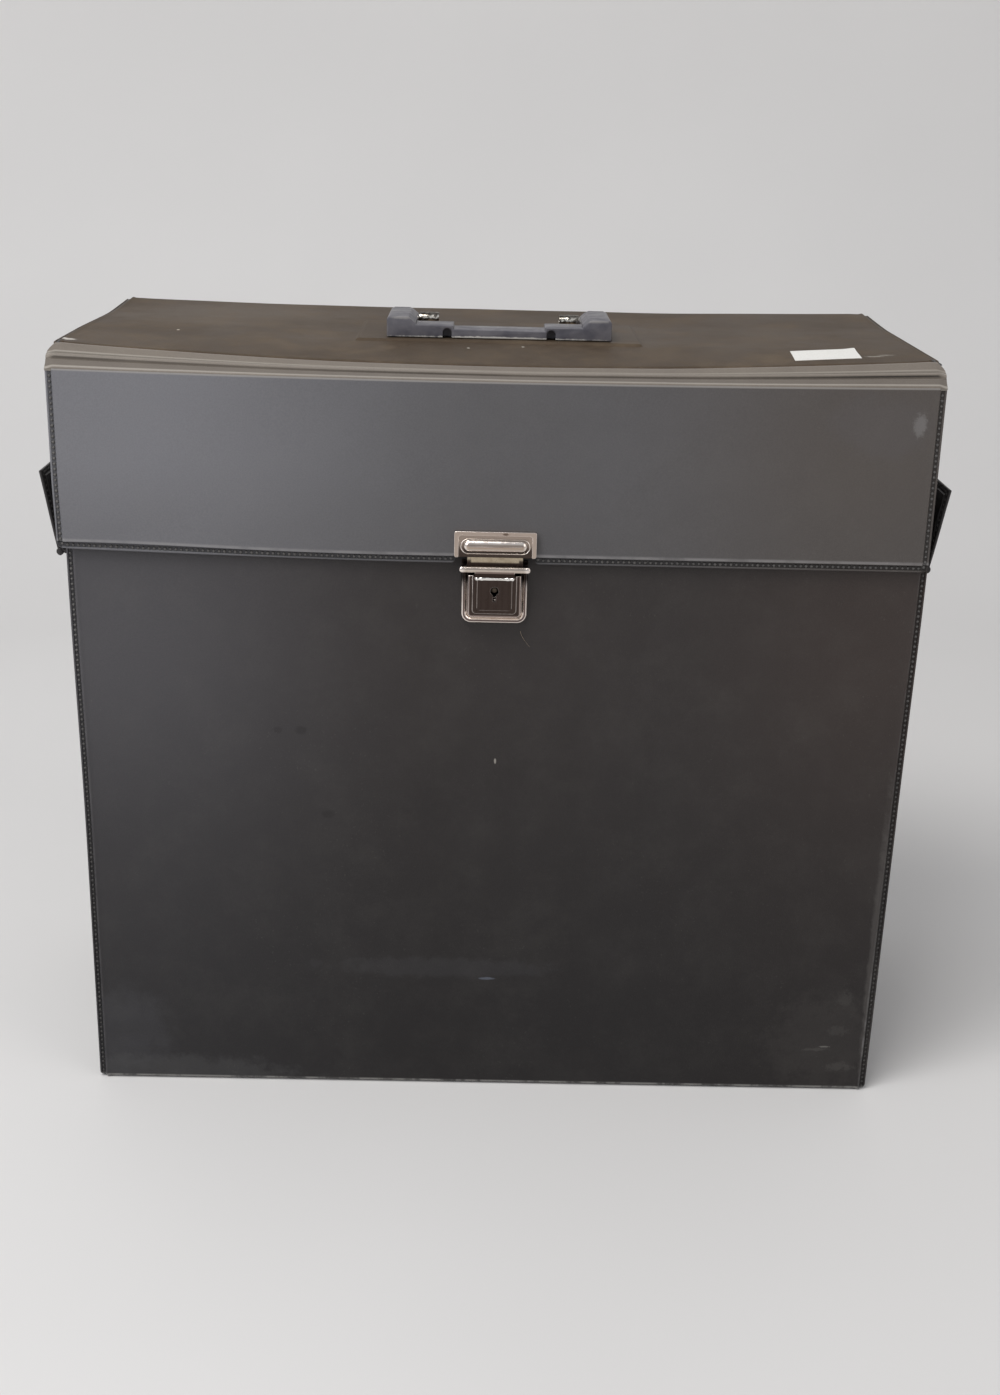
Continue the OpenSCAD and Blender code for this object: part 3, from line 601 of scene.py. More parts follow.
class Graph:
    """Builds the nodes of one material."""

    def __init__(self, name: str) -> None:
        """Starts an empty material that reads Object coordinates."""
        self.material = bpy.data.materials.new(name)
        self.material.use_nodes = True
        self.tree = self.material.node_tree
        self.tree.nodes.clear()
        self.place = self.node("ShaderNodeTexCoord").outputs["Object"]
        split = self.node("ShaderNodeSeparateXYZ")
        self.feed(split.inputs[0], self.place)
        self.x, self.y, self.z = split.outputs

    def node(self, kind: str, **settings: object) -> bpy.types.Node:
        """A new node with its settings."""
        made = self.tree.nodes.new(kind)
        for key, value in settings.items():
            setattr(made, key, value)
        return made

    def feed(self, socket: Socket, value: object) -> None:
        """Links a socket to a socket, or sets its value."""
        if isinstance(value, Socket):
            self.tree.links.new(value, socket)
        elif isinstance(value, tuple) and len(value) == 3 and socket.type == "RGBA":
            socket.default_value = (*value, 1.0)
        else:
            socket.default_value = value

    def math(self, operation: str, a: object, b: object = 0.0, clamp: bool = False) -> Socket:
        """A sum or other operation on two numbers."""
        made = self.node("ShaderNodeMath", operation=operation, use_clamp=clamp)
        self.feed(made.inputs[0], a)
        self.feed(made.inputs[1], b)
        return made.outputs[0]

    def times(self, *values: object) -> Socket:
        """The product of several numbers."""
        total = values[0]
        for value in values[1:]:
            total = self.math("MULTIPLY", total, value)
        return total

    def span(self, value: object, low: float, high: float, to_low: float = 0.0, to_high: float = 1.0) -> Socket:
        """A number taken smoothly from one range to another.

        Args:
            value: The number.
            low, high: Where the change starts and ends.
            to_low, to_high: What it gives there.

        Returns:
            The new number.
        """
        made = self.node("ShaderNodeMapRange", interpolation_type="SMOOTHSTEP")
        for socket, given in zip(made.inputs, (value, low, high, to_low, to_high)):
            self.feed(socket, given)
        return made.outputs[0]

    def scaled(self, scale: Triple, shift: Triple = (0, 0, 0)) -> Socket:
        """The coordinates stretched, and moved first by a shift in millimetres."""
        moved = self.node("ShaderNodeVectorMath", operation="SUBTRACT")
        self.feed(moved.inputs[0], self.place)
        moved.inputs[1].default_value = tuple(s * MM for s in shift)
        made = self.node("ShaderNodeVectorMath", operation="MULTIPLY")
        self.feed(made.inputs[0], moved.outputs[0])
        made.inputs[1].default_value = scale
        return made.outputs[0]

    def noise(self, cell: float, detail: float, rough: float, stretch: Triple = (1, 1, 1)) -> Socket:
        """Noise over the piece.

        Args:
            cell: Size of its features in millimetres.
            detail: Finer layers.
            rough: How strong they are.
            stretch: Scale along X, Y and Z, under 1 for long features.

        Returns:
            The noise, about 0.2 to 0.8.
        """
        made = self.node("ShaderNodeTexNoise")
        self.feed(made.inputs["Vector"], self.scaled(stretch) if stretch != (1, 1, 1) else self.place)
        for name, value in (("Scale", 1 / (cell * MM)), ("Detail", detail), ("Roughness", rough)):
            made.inputs[name].default_value = value
        return made.outputs["Fac"]

    def cells(self, cell: float) -> Socket:
        """Distance in a pattern of cells of about a size in millimetres."""
        made = self.node("ShaderNodeTexVoronoi", feature="F1")
        self.feed(made.inputs["Vector"], self.place)
        made.inputs["Scale"].default_value = 1 / (cell * MM)
        return made.outputs["Distance"]

    def mix(self, factor: object, a: object, b: object) -> Socket:
        """A mix of two colours."""
        made = self.node("ShaderNodeMix", data_type="RGBA", blend_type="MIX")
        self.feed(made.inputs[0], factor)
        self.feed(made.inputs[COLOUR_A], a)
        self.feed(made.inputs[COLOUR_B], b)
        return made.outputs[COLOUR_OUT]

    def between(self, value: object, low: float, high: float, soft: float) -> Socket:
        """1 between two places in millimetres, 0 outside."""
        up = self.span(value, (low - soft) * MM, (low + soft) * MM)
        down = self.span(value, (high - soft) * MM, (high + soft) * MM, 1.0, 0.0)
        return self.math("MULTIPLY", up, down)

    def blot(self, centre: Triple, reach: Triple, ragged: float, cell: float) -> Socket:
        """A ragged patch round a place.

        Args:
            centre: Its middle in millimetres.
            reach: Its half sizes along X, Y and Z.
            ragged: How much noise eats its edge.
            cell: Size of the noise.

        Returns:
            1 in the middle, 0 outside.
        """
        length = self.node("ShaderNodeVectorMath", operation="LENGTH")
        self.feed(length.inputs[0], self.scaled(tuple(1 / (r * MM) for r in reach), centre))
        eaten = self.math("MULTIPLY_ADD", self.noise(cell, 5, 0.7), ragged)
        eaten.node.inputs[2].default_value = -0.5 * ragged
        return self.span(self.math("ADD", length.outputs["Value"], eaten), 1.0, 0.45)

    def level(self, low: float = 0.9, high: float = 0.985) -> Socket:
        """1 where the surface faces straight forward, 0 on its rounded edges."""
        split = self.node("ShaderNodeSeparateXYZ")
        self.feed(split.inputs[0], self.node("ShaderNodeTexCoord").outputs["Normal"])
        return self.span(split.outputs[1], -low, -high)

    def bump(self, height: object, depth: float, strength: float = 1.0, under: object = None) -> Socket:
        """A bumped normal.

        Args:
            height: The heights, 0 to 1.
            depth: What 1 stands for, in millimetres.
            strength: Share of the bump that shows.
            under: A bump that this one lies on.

        Returns:
            The normal.
        """
        made = self.node("ShaderNodeBump")
        made.inputs["Strength"].default_value = strength
        made.inputs["Distance"].default_value = depth * MM
        self.feed(made.inputs["Height"], height)
        if under is not None:
            self.feed(made.inputs["Normal"], under)
        return made.outputs["Normal"]

    def finish(self, colour: object, rough: object, normal: object, metallic: float = 0.0, **numbers: float
               ) -> bpy.types.Material:
        """Joins the shader and the output.

        Args:
            colour, rough, normal: Sockets or values of the surface.
            metallic: 1 for metal.
            numbers: Other inputs of the shader, with _ for a space.

        Returns:
            The material.
        """
        shader = self.node("ShaderNodeBsdfPrincipled")
        self.feed(shader.inputs["Base Color"], colour)
        self.feed(shader.inputs["Roughness"], rough)
        if normal is not None:
            self.feed(shader.inputs["Normal"], normal)
        shader.inputs["Metallic"].default_value = metallic
        for name, value in numbers.items():
            shader.inputs[name.replace("_", " ")].default_value = value
        output = self.node("ShaderNodeOutputMaterial")
        self.feed(output.inputs["Surface"], shader.outputs[0])
        return self.material


@dataclass(frozen=True)
class Patch:
    """A place laid over a surface: dust, a scuff, a wear mark, a painted highlight or a painted reflection."""

    centre: Triple
    reach: Triple
    strength: float = 0.5
    colour: Colour = (0.22, 0.21, 0.2)
    ragged: float = 0.9
    cell: float = 5.0


def laid_over(g: Graph, colour: Socket, patches: Sequence[Patch]) -> Socket:
    """A colour with patches laid over it."""
    for patch in patches:
        mask = g.times(g.blot(patch.centre, patch.reach, patch.ragged, patch.cell), patch.strength)
        colour = g.mix(mask, colour, patch.colour)
    return colour


@dataclass(frozen=True)
class Fade:
    """A gradient of painted light and shade: a slow change of tone along X (axis 0) or Z (axis 2), from a start
    to an end in millimetres.
    """

    axis: int
    start: float
    end: float
    strength: float
    colour: Colour


@dataclass(frozen=True)
class Vinyl:
    """Grained vinyl, scuffed and dusty, with gradients of painted light and with painted shade and highlights.
    """

    name: str
    dark: Colour
    light: Colour
    dust: Colour = (0.2, 0.19, 0.17)
    dust_amount: float = 0.1
    rough: Pair = (0.36, 0.46)
    grain: float = 0.9
    grain_depth: float = 0.04
    fold_wear: bool = False
    patches: tuple[Patch, ...] = ()
    painted_light_fades: tuple[Fade, ...] = ()
    gloss: float = 0.25
    shading: Callable[[Graph, Socket], Socket] | None = None

    def material(self) -> bpy.types.Material:
        """The vinyl's nodes: mottling, gradients of painted light, dust, patches of smudges, scuffs and painted
        reflection, painted shade and highlights, grain and pores.
        """
        g = Graph(self.name)
        broad = g.span(g.noise(160, 2, 0.5), 0.3, 0.7, 0.1, 0.3)
        tone = g.math("ADD", broad, g.span(g.noise(14, 4, 0.6), 0.25, 0.75, 0, 0.2))
        colour = g.mix(tone, self.dark, self.light)
        # Gradients of painted light and shade.
        for fade in self.painted_light_fades:
            along = g.x if fade.axis == 0 else g.z
            share = g.span(along, fade.start * MM, fade.end * MM, 0.0, fade.strength)
            colour = g.mix(share, colour, fade.colour)
        colour = g.mix(g.span(g.noise(0.6, 3, 0.6), 0.3, 0.7, 0.0, 0.1), colour, (0.0, 0.0, 0.0))
        strewn = g.span(g.noise(1.1, 2, 0.5), 0.66, 0.74)
        specks = g.times(strewn, g.span(g.noise(45, 3, 0.6), 0.4, 0.65), 0.35)
        film = g.times(g.span(g.noise(26, 7, 0.74), 0.4, 0.78), self.dust_amount)
        dusty = g.math("ADD", film, g.times(specks, min(1.0, 2.5 * self.dust_amount + 0.1)), True)
        colour = g.mix(dusty, colour, self.dust)
        colour = laid_over(g, colour, self.patches)
        if self.shading is not None:
            colour = self.shading(g, colour)
        if self.fold_wear:
            line = g.between(g.z, 0.5, 2.1, 0.45)
            broken = g.span(g.noise(11, 4, 0.7, (1, 0.1, 0.1)), 0.4, 0.56, 0.15, 1.0)
            front = g.span(g.y, -78 * MM, -80.2 * MM)
            colour = g.mix(g.times(line, broken, front, 0.6), colour, WORN_FOLD)
        rough = g.span(g.noise(70, 4, 0.6), 0.3, 0.72, *self.rough)
        rough = g.math("ADD", rough, g.times(dusty, 0.4), True)
        pebble = g.span(g.cells(self.grain), 0.1, 0.75, 1.0, 0.0)
        pores = g.span(g.noise(0.35, 2, 0.6), 0.35, 0.7)
        skin = g.math("ADD", g.times(pebble, 0.7), g.times(pores, 0.3))
        slow = g.bump(g.noise(30, 3, 0.5), 0.12, 0.8)
        normal = g.bump(skin, self.grain_depth, 0.75, slow)
        return g.finish(colour, rough, normal, Specular_IOR_Level=self.gloss)


@dataclass(frozen=True)
class Metal:
    """Plated metal with fine scratches and tarnish, a painted dark reflection on its flat faces and painted
    layers of shade and reflection.
    """

    name: str
    colour: Colour
    tarnish: Colour
    rough: Pair = (0.14, 0.3)
    tarnish_amount: float = 0.35
    # Painted dark reflection on faces that look straight forward, leaving the rounded edges bright.
    flat: Colour | None = None
    layers: Callable[[Graph], Layers] | None = None
    rumple: float = 0.0

    def material(self) -> bpy.types.Material:
        """The metal's nodes, with its painted reflection and its layers of painted shade, painted reflection
        and stains.
        """
        g = Graph(self.name)
        stain = g.times(g.span(g.noise(5, 5, 0.7), 0.45, 0.7), self.tarnish_amount)
        colour = g.mix(stain, self.colour, self.tarnish)
        # Painted dark reflection where the face looks straight forward.
        if self.flat is not None:
            colour = g.mix(g.level(), colour, self.flat)
        for mask, tint in self.layers(g) if self.layers else ():
            colour = g.mix(mask, colour, tint)
        scratches = g.noise(0.5, 3, 0.6, (1, 1, 0.12))
        pits = g.span(g.noise(0.8, 3, 0.6), 0.62, 0.72)
        rough = g.math("ADD", g.span(g.noise(4, 4, 0.6), 0.3, 0.7, *self.rough), g.times(stain, 0.25), True)
        height = g.math("SUBTRACT", g.times(scratches, 0.5), g.times(pits, 0.5))
        normal = g.bump(g.noise(1.5, 2, 0.5), self.rumple, 1.0) if self.rumple else None
        return g.finish(colour, rough, g.bump(height, 0.02, 0.5, normal), 1.0)


@dataclass(frozen=True)
class Moulded:
    """Moulded plastic with scuffs, and patches laid over it."""

    name: str
    colour: Colour
    pale: Colour
    rough: Pair = (0.32, 0.5)
    patches: tuple[Patch, ...] = ()

    def material(self) -> bpy.types.Material:
        """The plastic's nodes."""
        g = Graph(self.name)
        tone = g.span(g.noise(9, 4, 0.6), 0.3, 0.7)
        colour = g.mix(g.times(tone, 0.5), self.colour, self.pale)
        scuff = g.times(g.span(g.noise(1.6, 4, 0.7, (0.25, 1, 1)), 0.6, 0.72), 0.4)
        colour = g.mix(scuff, colour, self.pale)
        colour = laid_over(g, colour, self.patches)
        rough = g.math("ADD", g.span(g.noise(6, 3, 0.6), 0.3, 0.7, *self.rough), g.times(scuff, 0.3), True)
        return g.finish(colour, rough, g.bump(g.noise(0.5, 3, 0.6), 0.03, 0.5))


@dataclass(frozen=True)
class Fibre:
    """Pressed board, paper or lining with a fibrous grain."""

    name: str
    colour: Colour
    other: Colour
    cell: float = 1.6
    rough: float = 0.8
    depth: float = 0.08
    flecks: Colour = (0.1, 0.08, 0.06)
    fleck_amount: float = 0.4

    def material(self) -> bpy.types.Material:
        """The board's nodes."""
        g = Graph(self.name)
        chips = g.cells(self.cell)
        colour = g.mix(g.span(chips, 0.1, 0.7), self.colour, self.other)
        fleck = g.times(g.span(g.noise(self.cell * 0.8, 4, 0.7), 0.58, 0.7), self.fleck_amount)
        colour = g.mix(fleck, colour, self.flecks)
        colour = g.mix(g.times(g.span(g.noise(60, 3, 0.6), 0.4, 0.7), 0.25), colour, self.flecks)
        height = g.math("ADD", g.times(chips, 0.6), g.times(g.noise(self.cell * 0.5, 3, 0.6), 0.4))
        rough = g.span(g.noise(12, 3, 0.6), 0.3, 0.7, self.rough - 0.12, min(1.0, self.rough + 0.1))
        return g.finish(colour, rough, g.bump(height, self.depth, 0.7))


DUSTY = (0.27, 0.26, 0.24)
WORN_FOLD = (0.36, 0.35, 0.33)
# Painted shade in the welded channels and grooves, and painted highlights on the crests and edges beside them.
CHANNEL_SHADE = (0.006, 0.0055, 0.0055)
CREST_HIGHLIGHT = (0.13, 0.125, 0.125)
FLAP_PAD_EDGE_HIGHLIGHT = (0.28, 0.27, 0.27)
FLAP_TOP_HIGHLIGHT = (0.34, 0.32, 0.3)


def body_channels(g: Graph, colour: Socket) -> Socket:
    """Paints shade into the welded channels along the body's two edges, where they lie once it has spread, and
    a painted highlight on the crests beside them.
    """
    spread = g.span(g.z, SPREAD.low * MM, SPREAD.high * MM, 0.0, SPREAD.reach * MM)
    foot, knee, _, chest, top = (z * MM for z in SPREAD.heights)
    at_foot, at_knee, _, at_chest, at_top = (lean * MM for lean in SPREAD.leans)
    lean = g.span(g.z, foot, knee, at_foot, at_knee)
    lean = g.math("ADD", lean, g.span(g.z, knee, chest, 0.0, at_chest - at_knee))
    lean = g.times(g.math("SUBTRACT", lean, g.span(g.z, chest, top, 0.0, at_chest - at_top)),
                   g.span(g.y, SPREAD.front[0] * MM, SPREAD.front[1] * MM), g.span(g.x, 100 * MM, 140 * MM))
    place = g.math("SUBTRACT", g.math("SUBTRACT", g.math("ABSOLUTE", g.x), spread), lean)
    # Painted shade in the channels.
    colour = g.mix(g.times(g.between(place, 168.5, 170.2, 0.14), 0.5), colour, CHANNEL_SHADE)
    # Painted highlight on the crests, broken by noise and brightest low on the right.
    lit_low_right = g.times(g.span(g.z, 85 * MM, 25 * MM), g.span(g.x, 100 * MM, 140 * MM), 0.7)
    broken_highlight = g.times(g.span(g.noise(9, 3, 0.6), 0.35, 0.6, 0.15, 1.0), g.math("ADD", lit_low_right, 0.2))
    crest = g.times(g.between(place, 167.5, 168.4, 0.25), broken_highlight)
    return g.mix(crest, colour, CREST_HIGHLIGHT)


def flap_channels(g: Graph, colour: Socket) -> Socket:
    """Paints shade into the flap's welded channels and under its pad's lower edge, a painted highlight on that
    edge, and a painted highlight along its upper edge.
    """
    ends = g.math("ADD", g.between(g.x, 171.7, 173.2, 0.14), g.between(g.x, -174.4, -172.9, 0.14), True)
    leftward = g.span(g.x, HANG.start * MM, (HANG.start - HANG.run) * MM)
    lifted = g.times(g.math("POWER", leftward, HANG.power), HANG.lift * MM)
    z = g.math("ADD", g.math("SUBTRACT", g.z, lifted), HANG.drop * MM)
    low = g.between(z, 244.75, 246.2, 0.14)
    # Painted shade in the channels at the ends and along the bottom.
    colour = g.mix(g.times(ends, 0.5), colour, CHANNEL_SHADE)
    colour = g.mix(g.times(low, 0.6), colour, CHANNEL_SHADE)
    # Painted shadow under the pad's lower edge.
    colour = g.mix(g.times(g.between(z, 246.3, 247.0, 0.15), 0.75), colour, CHANNEL_SHADE)
    # Painted highlight on the pad's lower edge.
    crest = g.times(g.span(z, 246.9 * MM, 247.3 * MM), g.span(z, 248.6 * MM, 247.7 * MM),
                    g.span(g.noise(12, 3, 0.6), 0.3, 0.6, 0.2, 0.5))
    colour = g.mix(crest, colour, FLAP_PAD_EDGE_HIGHLIGHT)
    # Painted highlight along the upper edge.
    bowed = g.math("SUBTRACT", g.z, g.times(g.x, g.x, SHAPE.flap_lift / (SHAPE.half_width ** 2 * MM)))
    top = g.times(g.span(bowed, 312.6 * MM, 313.1 * MM), 0.6)
    return g.mix(top, colour, FLAP_TOP_HIGHLIGHT)


# Lines along the front strip: place across it in millimetres, half its width, amount and colour. The light
# lines are painted highlights on its ridges and edges, the darkest lines painted shade in its grooves, and one
# wide band is darker.
STRIP_LINES = (
    (0.0, 0.5, 0.35, (0.3, 0.27, 0.24)),
    (4.15, 0.3, 0.5, (0.34, 0.31, 0.27)),
    (4.7, 0.18, 0.9, CHANNEL_SHADE),
    (5.5, 0.34, 0.55, (0.4, 0.37, 0.33)),
    (6.3, 0.24, 0.4, (0.3, 0.27, 0.24)),
    (7.2, 0.24, 0.95, CHANNEL_SHADE),
    (9.2, 1.5, 0.35, (0.1, 0.088, 0.08)),
    (11.3, 0.42, 0.5, (0.42, 0.39, 0.35)),
)


def strip_lines(g: Graph, colour: Socket) -> Socket:
    """Painted highlights on a strip's ridges and painted shade in its grooves, by the way across it, the shade
    stronger towards the right.
    """
    across = g.math("SUBTRACT", SHAPE.front * MM, g.y)
    rightward = g.span(g.x, -150 * MM, 20 * MM, 0.45, 1.0)
    for place, half, amount, tint in STRIP_LINES:
        band = g.between(across, place - half, place + half, 0.12)
        shown = g.times(band, amount, rightward) if tint == CHANNEL_SHADE else g.times(band, amount)
        colour = g.mix(shown, colour, tint)
    return colour


BODY_VINYL = Vinyl(
    "charcoal_vinyl", (0.031, 0.0265, 0.0255), (0.044, 0.039, 0.038), dust_amount=0.05, fold_wear=True,
    shading=body_channels,
    # Painted light: lighter and bluish towards the left and warmer towards the right, with painted shade darker
    # towards the bottom.
    painted_light_fades=(
        Fade(0, -20, -165, 0.75, (0.085, 0.083, 0.09)),
        Fade(0, 60, 160, 0.6, (0.05, 0.037, 0.032)),
        Fade(2, 215, 90, 0.62, (0.015, 0.0135, 0.0138)),
        Fade(2, 120, 20, 0.5, (0.011, 0.01, 0.0105)),
    ),
    patches=(
        # A painted bluish reflection low on the left.
        Patch((-159, -81, 24), (26, 6, 26), 0.16, (0.09, 0.09, 0.1), 1.2, 9),
        Patch((-140, -81, 5), (70, 6, 9), 0.2, (0.1, 0.1, 0.1), 1.5, 7),
        Patch((150, -81, 24), (34, 6, 30), 0.08, (0.12, 0.11, 0.1), 1.8, 7),
        Patch((151.6, -81, 21.8), (3.0, 6, 0.55), 0.36, DUSTY, 1.6, 1.4),
        Patch((147, -81, 20.4), (7, 6, 1.1), 0.07, DUSTY, 2.4, 2.4),
        Patch((157.0, -81, 30), (5, 6, 3.2), 0.05, DUSTY, 2.6, 2.2),
        Patch((158.5, -81, 12), (7, 6, 3), 0.06, DUSTY, 2.6, 2.4),
        Patch((158.5, -81, 46), (4, 6, 5), 0.05, DUSTY, 2.6, 2.6),
        Patch((0.5, -81, 53), (4.5, 6, 0.8), 0.4, (0.16, 0.18, 0.23), 0.9, 2),
        Patch((-20, -81, 58), (60, 6, 6), 0.08, (0.12, 0.12, 0.13), 1.8, 9),
        Patch((169, -80, 70), (3.0, 6, 90), 0.2, (0.16, 0.15, 0.14), 1.4, 6),
        Patch((-88.8, -81, 166.9), (2.8, 6, 2), 0.26, (0.009, 0.008, 0.008), 1.0, 3),
        Patch((-79, -81, 167), (3.2, 6, 2.4), 0.34, (0.009, 0.008, 0.008), 1.0, 3),
        Patch((-68, -81, 129.5), (3.6, 6, 2.4), 0.36, (0.009, 0.008, 0.008), 1.0, 3),
        Patch((-23, -81, 134), (16, 6, 13), 0.14, (0.01, 0.008, 0.009), 1.4, 7),
        Patch((1.9, -81, 155), (0.6, 6, 1.6), 0.8, (0.3, 0.28, 0.25), 0.6, 1),
    ))
LID_VINYL = Vinyl(
    "dusty_lid_vinyl", (0.052, 0.034, 0.02), (0.076, 0.054, 0.034), dust=(0.22, 0.165, 0.11),
    dust_amount=0.34, rough=(0.5, 0.62),
    patches=(
        Patch((-120, 30, 323), (70, 46, 8), 0.16, (0.17, 0.14, 0.11), 1.4, 12),
        Patch((150.5, -57.5, 324), (5, 1.6, 4), 0.5, (0.42, 0.4, 0.35), 1.8, 1.6),
        Patch((155.5, -54.5, 324), (4.6, 1.2, 4), 0.5, (0.42, 0.4, 0.35), 1.8, 1.6),
        Patch((-170.5, -64.5, 324), (4.6, 2.6, 5), 0.9, (0.6, 0.57, 0.52), 1.3, 3),
        Patch((-12.5, -47.5, 322), (0.8, 1.3, 4), 0.8, (0.42, 0.4, 0.35), 0.6, 1),
        Patch((9.7, -43.4, 322), (0.8, 1.3, 4), 0.8, (0.42, 0.4, 0.35), 0.6, 1),
        Patch((-133.8, -24.3, 323), (0.8, 1.4, 3), 0.9, (0.62, 0.55, 0.45), 0.3, 2),
    ))
# The flap's vinyl, lighter than the body's, its tone partly painted sheen; its gradients paint a bright bluish
# sheen towards the left, warm shade towards the right and shade low down.
FLAP_VINYL = Vinyl(
    "flap_vinyl_painted_sheen", (0.094, 0.091, 0.094), (0.116, 0.113, 0.119), dust_amount=0.05,
    shading=flap_channels,
    painted_light_fades=(
        Fade(0, 10, -150, 0.85, (0.19, 0.19, 0.205)),
        Fade(0, 30, 150, 0.9, (0.088, 0.076, 0.068)),
        Fade(2, 285, 246, 0.25, (0.07, 0.066, 0.066)),
    ),
    patches=(
        Patch((164.6, -85, 300.6), (3.4, 5, 5.6), 0.42, (0.24, 0.23, 0.225), 1.6, 2.4),
        # A painted bluish sheen high on the right.
        Patch((150, -85, 300), (26, 5, 16), 0.1, (0.11, 0.11, 0.13), 1.4, 10),
    ))
EAR_VINYL = Vinyl("ear_vinyl", (0.034, 0.031, 0.031), (0.05, 0.047, 0.047), dust_amount=0.06)
STRIP_VINYL = Vinyl(
    "hinge_strip_vinyl", (0.16, 0.137, 0.115), (0.23, 0.2, 0.17), shading=strip_lines, dust=(0.28, 0.25, 0.2),
    dust_amount=0.2, rough=(0.36, 0.5), grain=0.7)
# Stitches lighter than the vinyl round them, a painted highlight on the raised beads, with painted shade darker
# towards the bottom.
STITCH = Vinyl(
    "stitch_beads_painted_light", (0.09, 0.086, 0.084), (0.15, 0.143, 0.137), dust_amount=0.2, rough=(0.36, 0.5), grain=0.5,
    grain_depth=0.02, painted_light_fades=(Fade(2, 246, 90, 0.85, (0.04, 0.038, 0.037)),))
# Its flat colour paints a dark reflection on broad front faces, so only the rounded edges look bright.
NICKEL = Metal(
    "polished_nickel", (0.88, 0.8, 0.74), (0.6, 0.48, 0.4), (0.12, 0.22), 0.3, flat=(0.24, 0.185, 0.165))
DULL_STEEL = Metal("zinc_steel", (0.62, 0.6, 0.56), (0.34, 0.29, 0.24), (0.22, 0.42), 0.45)
# Painted highlight on the handle's edges.
PLASTIC_EDGE_HIGHLIGHT = (0.3, 0.285, 0.27)
HANDLE_PLASTIC = Moulded(
    "blue_grey_plastic", (0.07, 0.068, 0.083), (0.19, 0.18, 0.19),
    # Painted highlights on the outer edges, on the legs' upper front edges and on the grip's top edge, and a
    # pale wear line along the lower front edge.
    patches=(
        Patch((-46.4, -14, 327), (1.6, 22, 6), 0.5, PLASTIC_EDGE_HIGHLIGHT, 1.0, 4),
        Patch((46.4, -14, 327), (1.6, 22, 6), 0.5, PLASTIC_EDGE_HIGHLIGHT, 1.0, 4),
        Patch((0, -32, 323.35), (48, 0.8, 0.75), 0.85, (0.62, 0.6, 0.56), 1.7, 2.2),
        Patch((-40, -32, 331), (6, 1.2, 0.9), 0.5, PLASTIC_EDGE_HIGHLIGHT, 1.4, 2.2),
        Patch((40, -32, 331), (6, 1.2, 0.9), 0.5, PLASTIC_EDGE_HIGHLIGHT, 1.4, 2.2),
        Patch((0, -32, 327.2), (26, 0.8, 0.5), 0.35, PLASTIC_EDGE_HIGHLIGHT, 1.6, 2.2),
    ))
BOARD = Fibre("chipboard", (0.36, 0.26, 0.16), (0.24, 0.16, 0.09), 1.8, 0.85, 0.12)
LINING = Fibre(
    "black_lining_paper", (0.03, 0.03, 0.032), (0.04, 0.04, 0.042), 1.2, 0.75, 0.05,
    flecks=(0.055, 0.055, 0.056), fleck_amount=0.25)
STIFFENER_CARD = Fibre("stiffener_card", (0.42, 0.38, 0.3), (0.34, 0.3, 0.23), 1.0, 0.85)
LABEL_PAPER = Fibre(
    "label_paper", (0.82, 0.81, 0.78), (0.76, 0.75, 0.71), 0.8, 0.62, 0.03,
    flecks=(0.5, 0.47, 0.42), fleck_amount=0.35)
LINT = Fibre("lint", (0.3, 0.24, 0.18), (0.4, 0.32, 0.24), 0.5, 0.7)

Finish = Vinyl | Metal | Moulded | Fibre
_made: dict[str, bpy.types.Material] = {}


def dress(piece: Piece, finish: Finish) -> None:
    """Gives a piece one finish, made when it is first asked for."""
    if finish.name not in _made:
        _made[finish.name] = finish.material()
    piece.data.materials.clear()
    piece.data.materials.append(_made[finish.name])


def settle(piece: Piece, finish: Finish, slot: Slot, body: Body, *nodes: str) -> Piece:
    """Dresses a finished piece and joins it to its body.

    Args:
        piece: The piece.
        finish: Its finish.
        slot: The record's slot it stands under; not used.
        body: The body it rides on.
        nodes: CAD nodes that it replaces.

    Returns:
        The piece.
    """
    dress(piece, finish)
    if nodes:
        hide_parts(*nodes)
    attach(piece, body.value)
    LOG.info("%s on %s: %d faces", piece.name, body.value, len(piece.data.polygons))
    return piece


def dress_node(node: str, finish: Finish) -> None:
    """Gives a CAD node that is shown as it is a finish."""
    dress(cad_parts[node], finish)
    LOG.info("%s keeps its CAD shape", node)


# ---- stitches


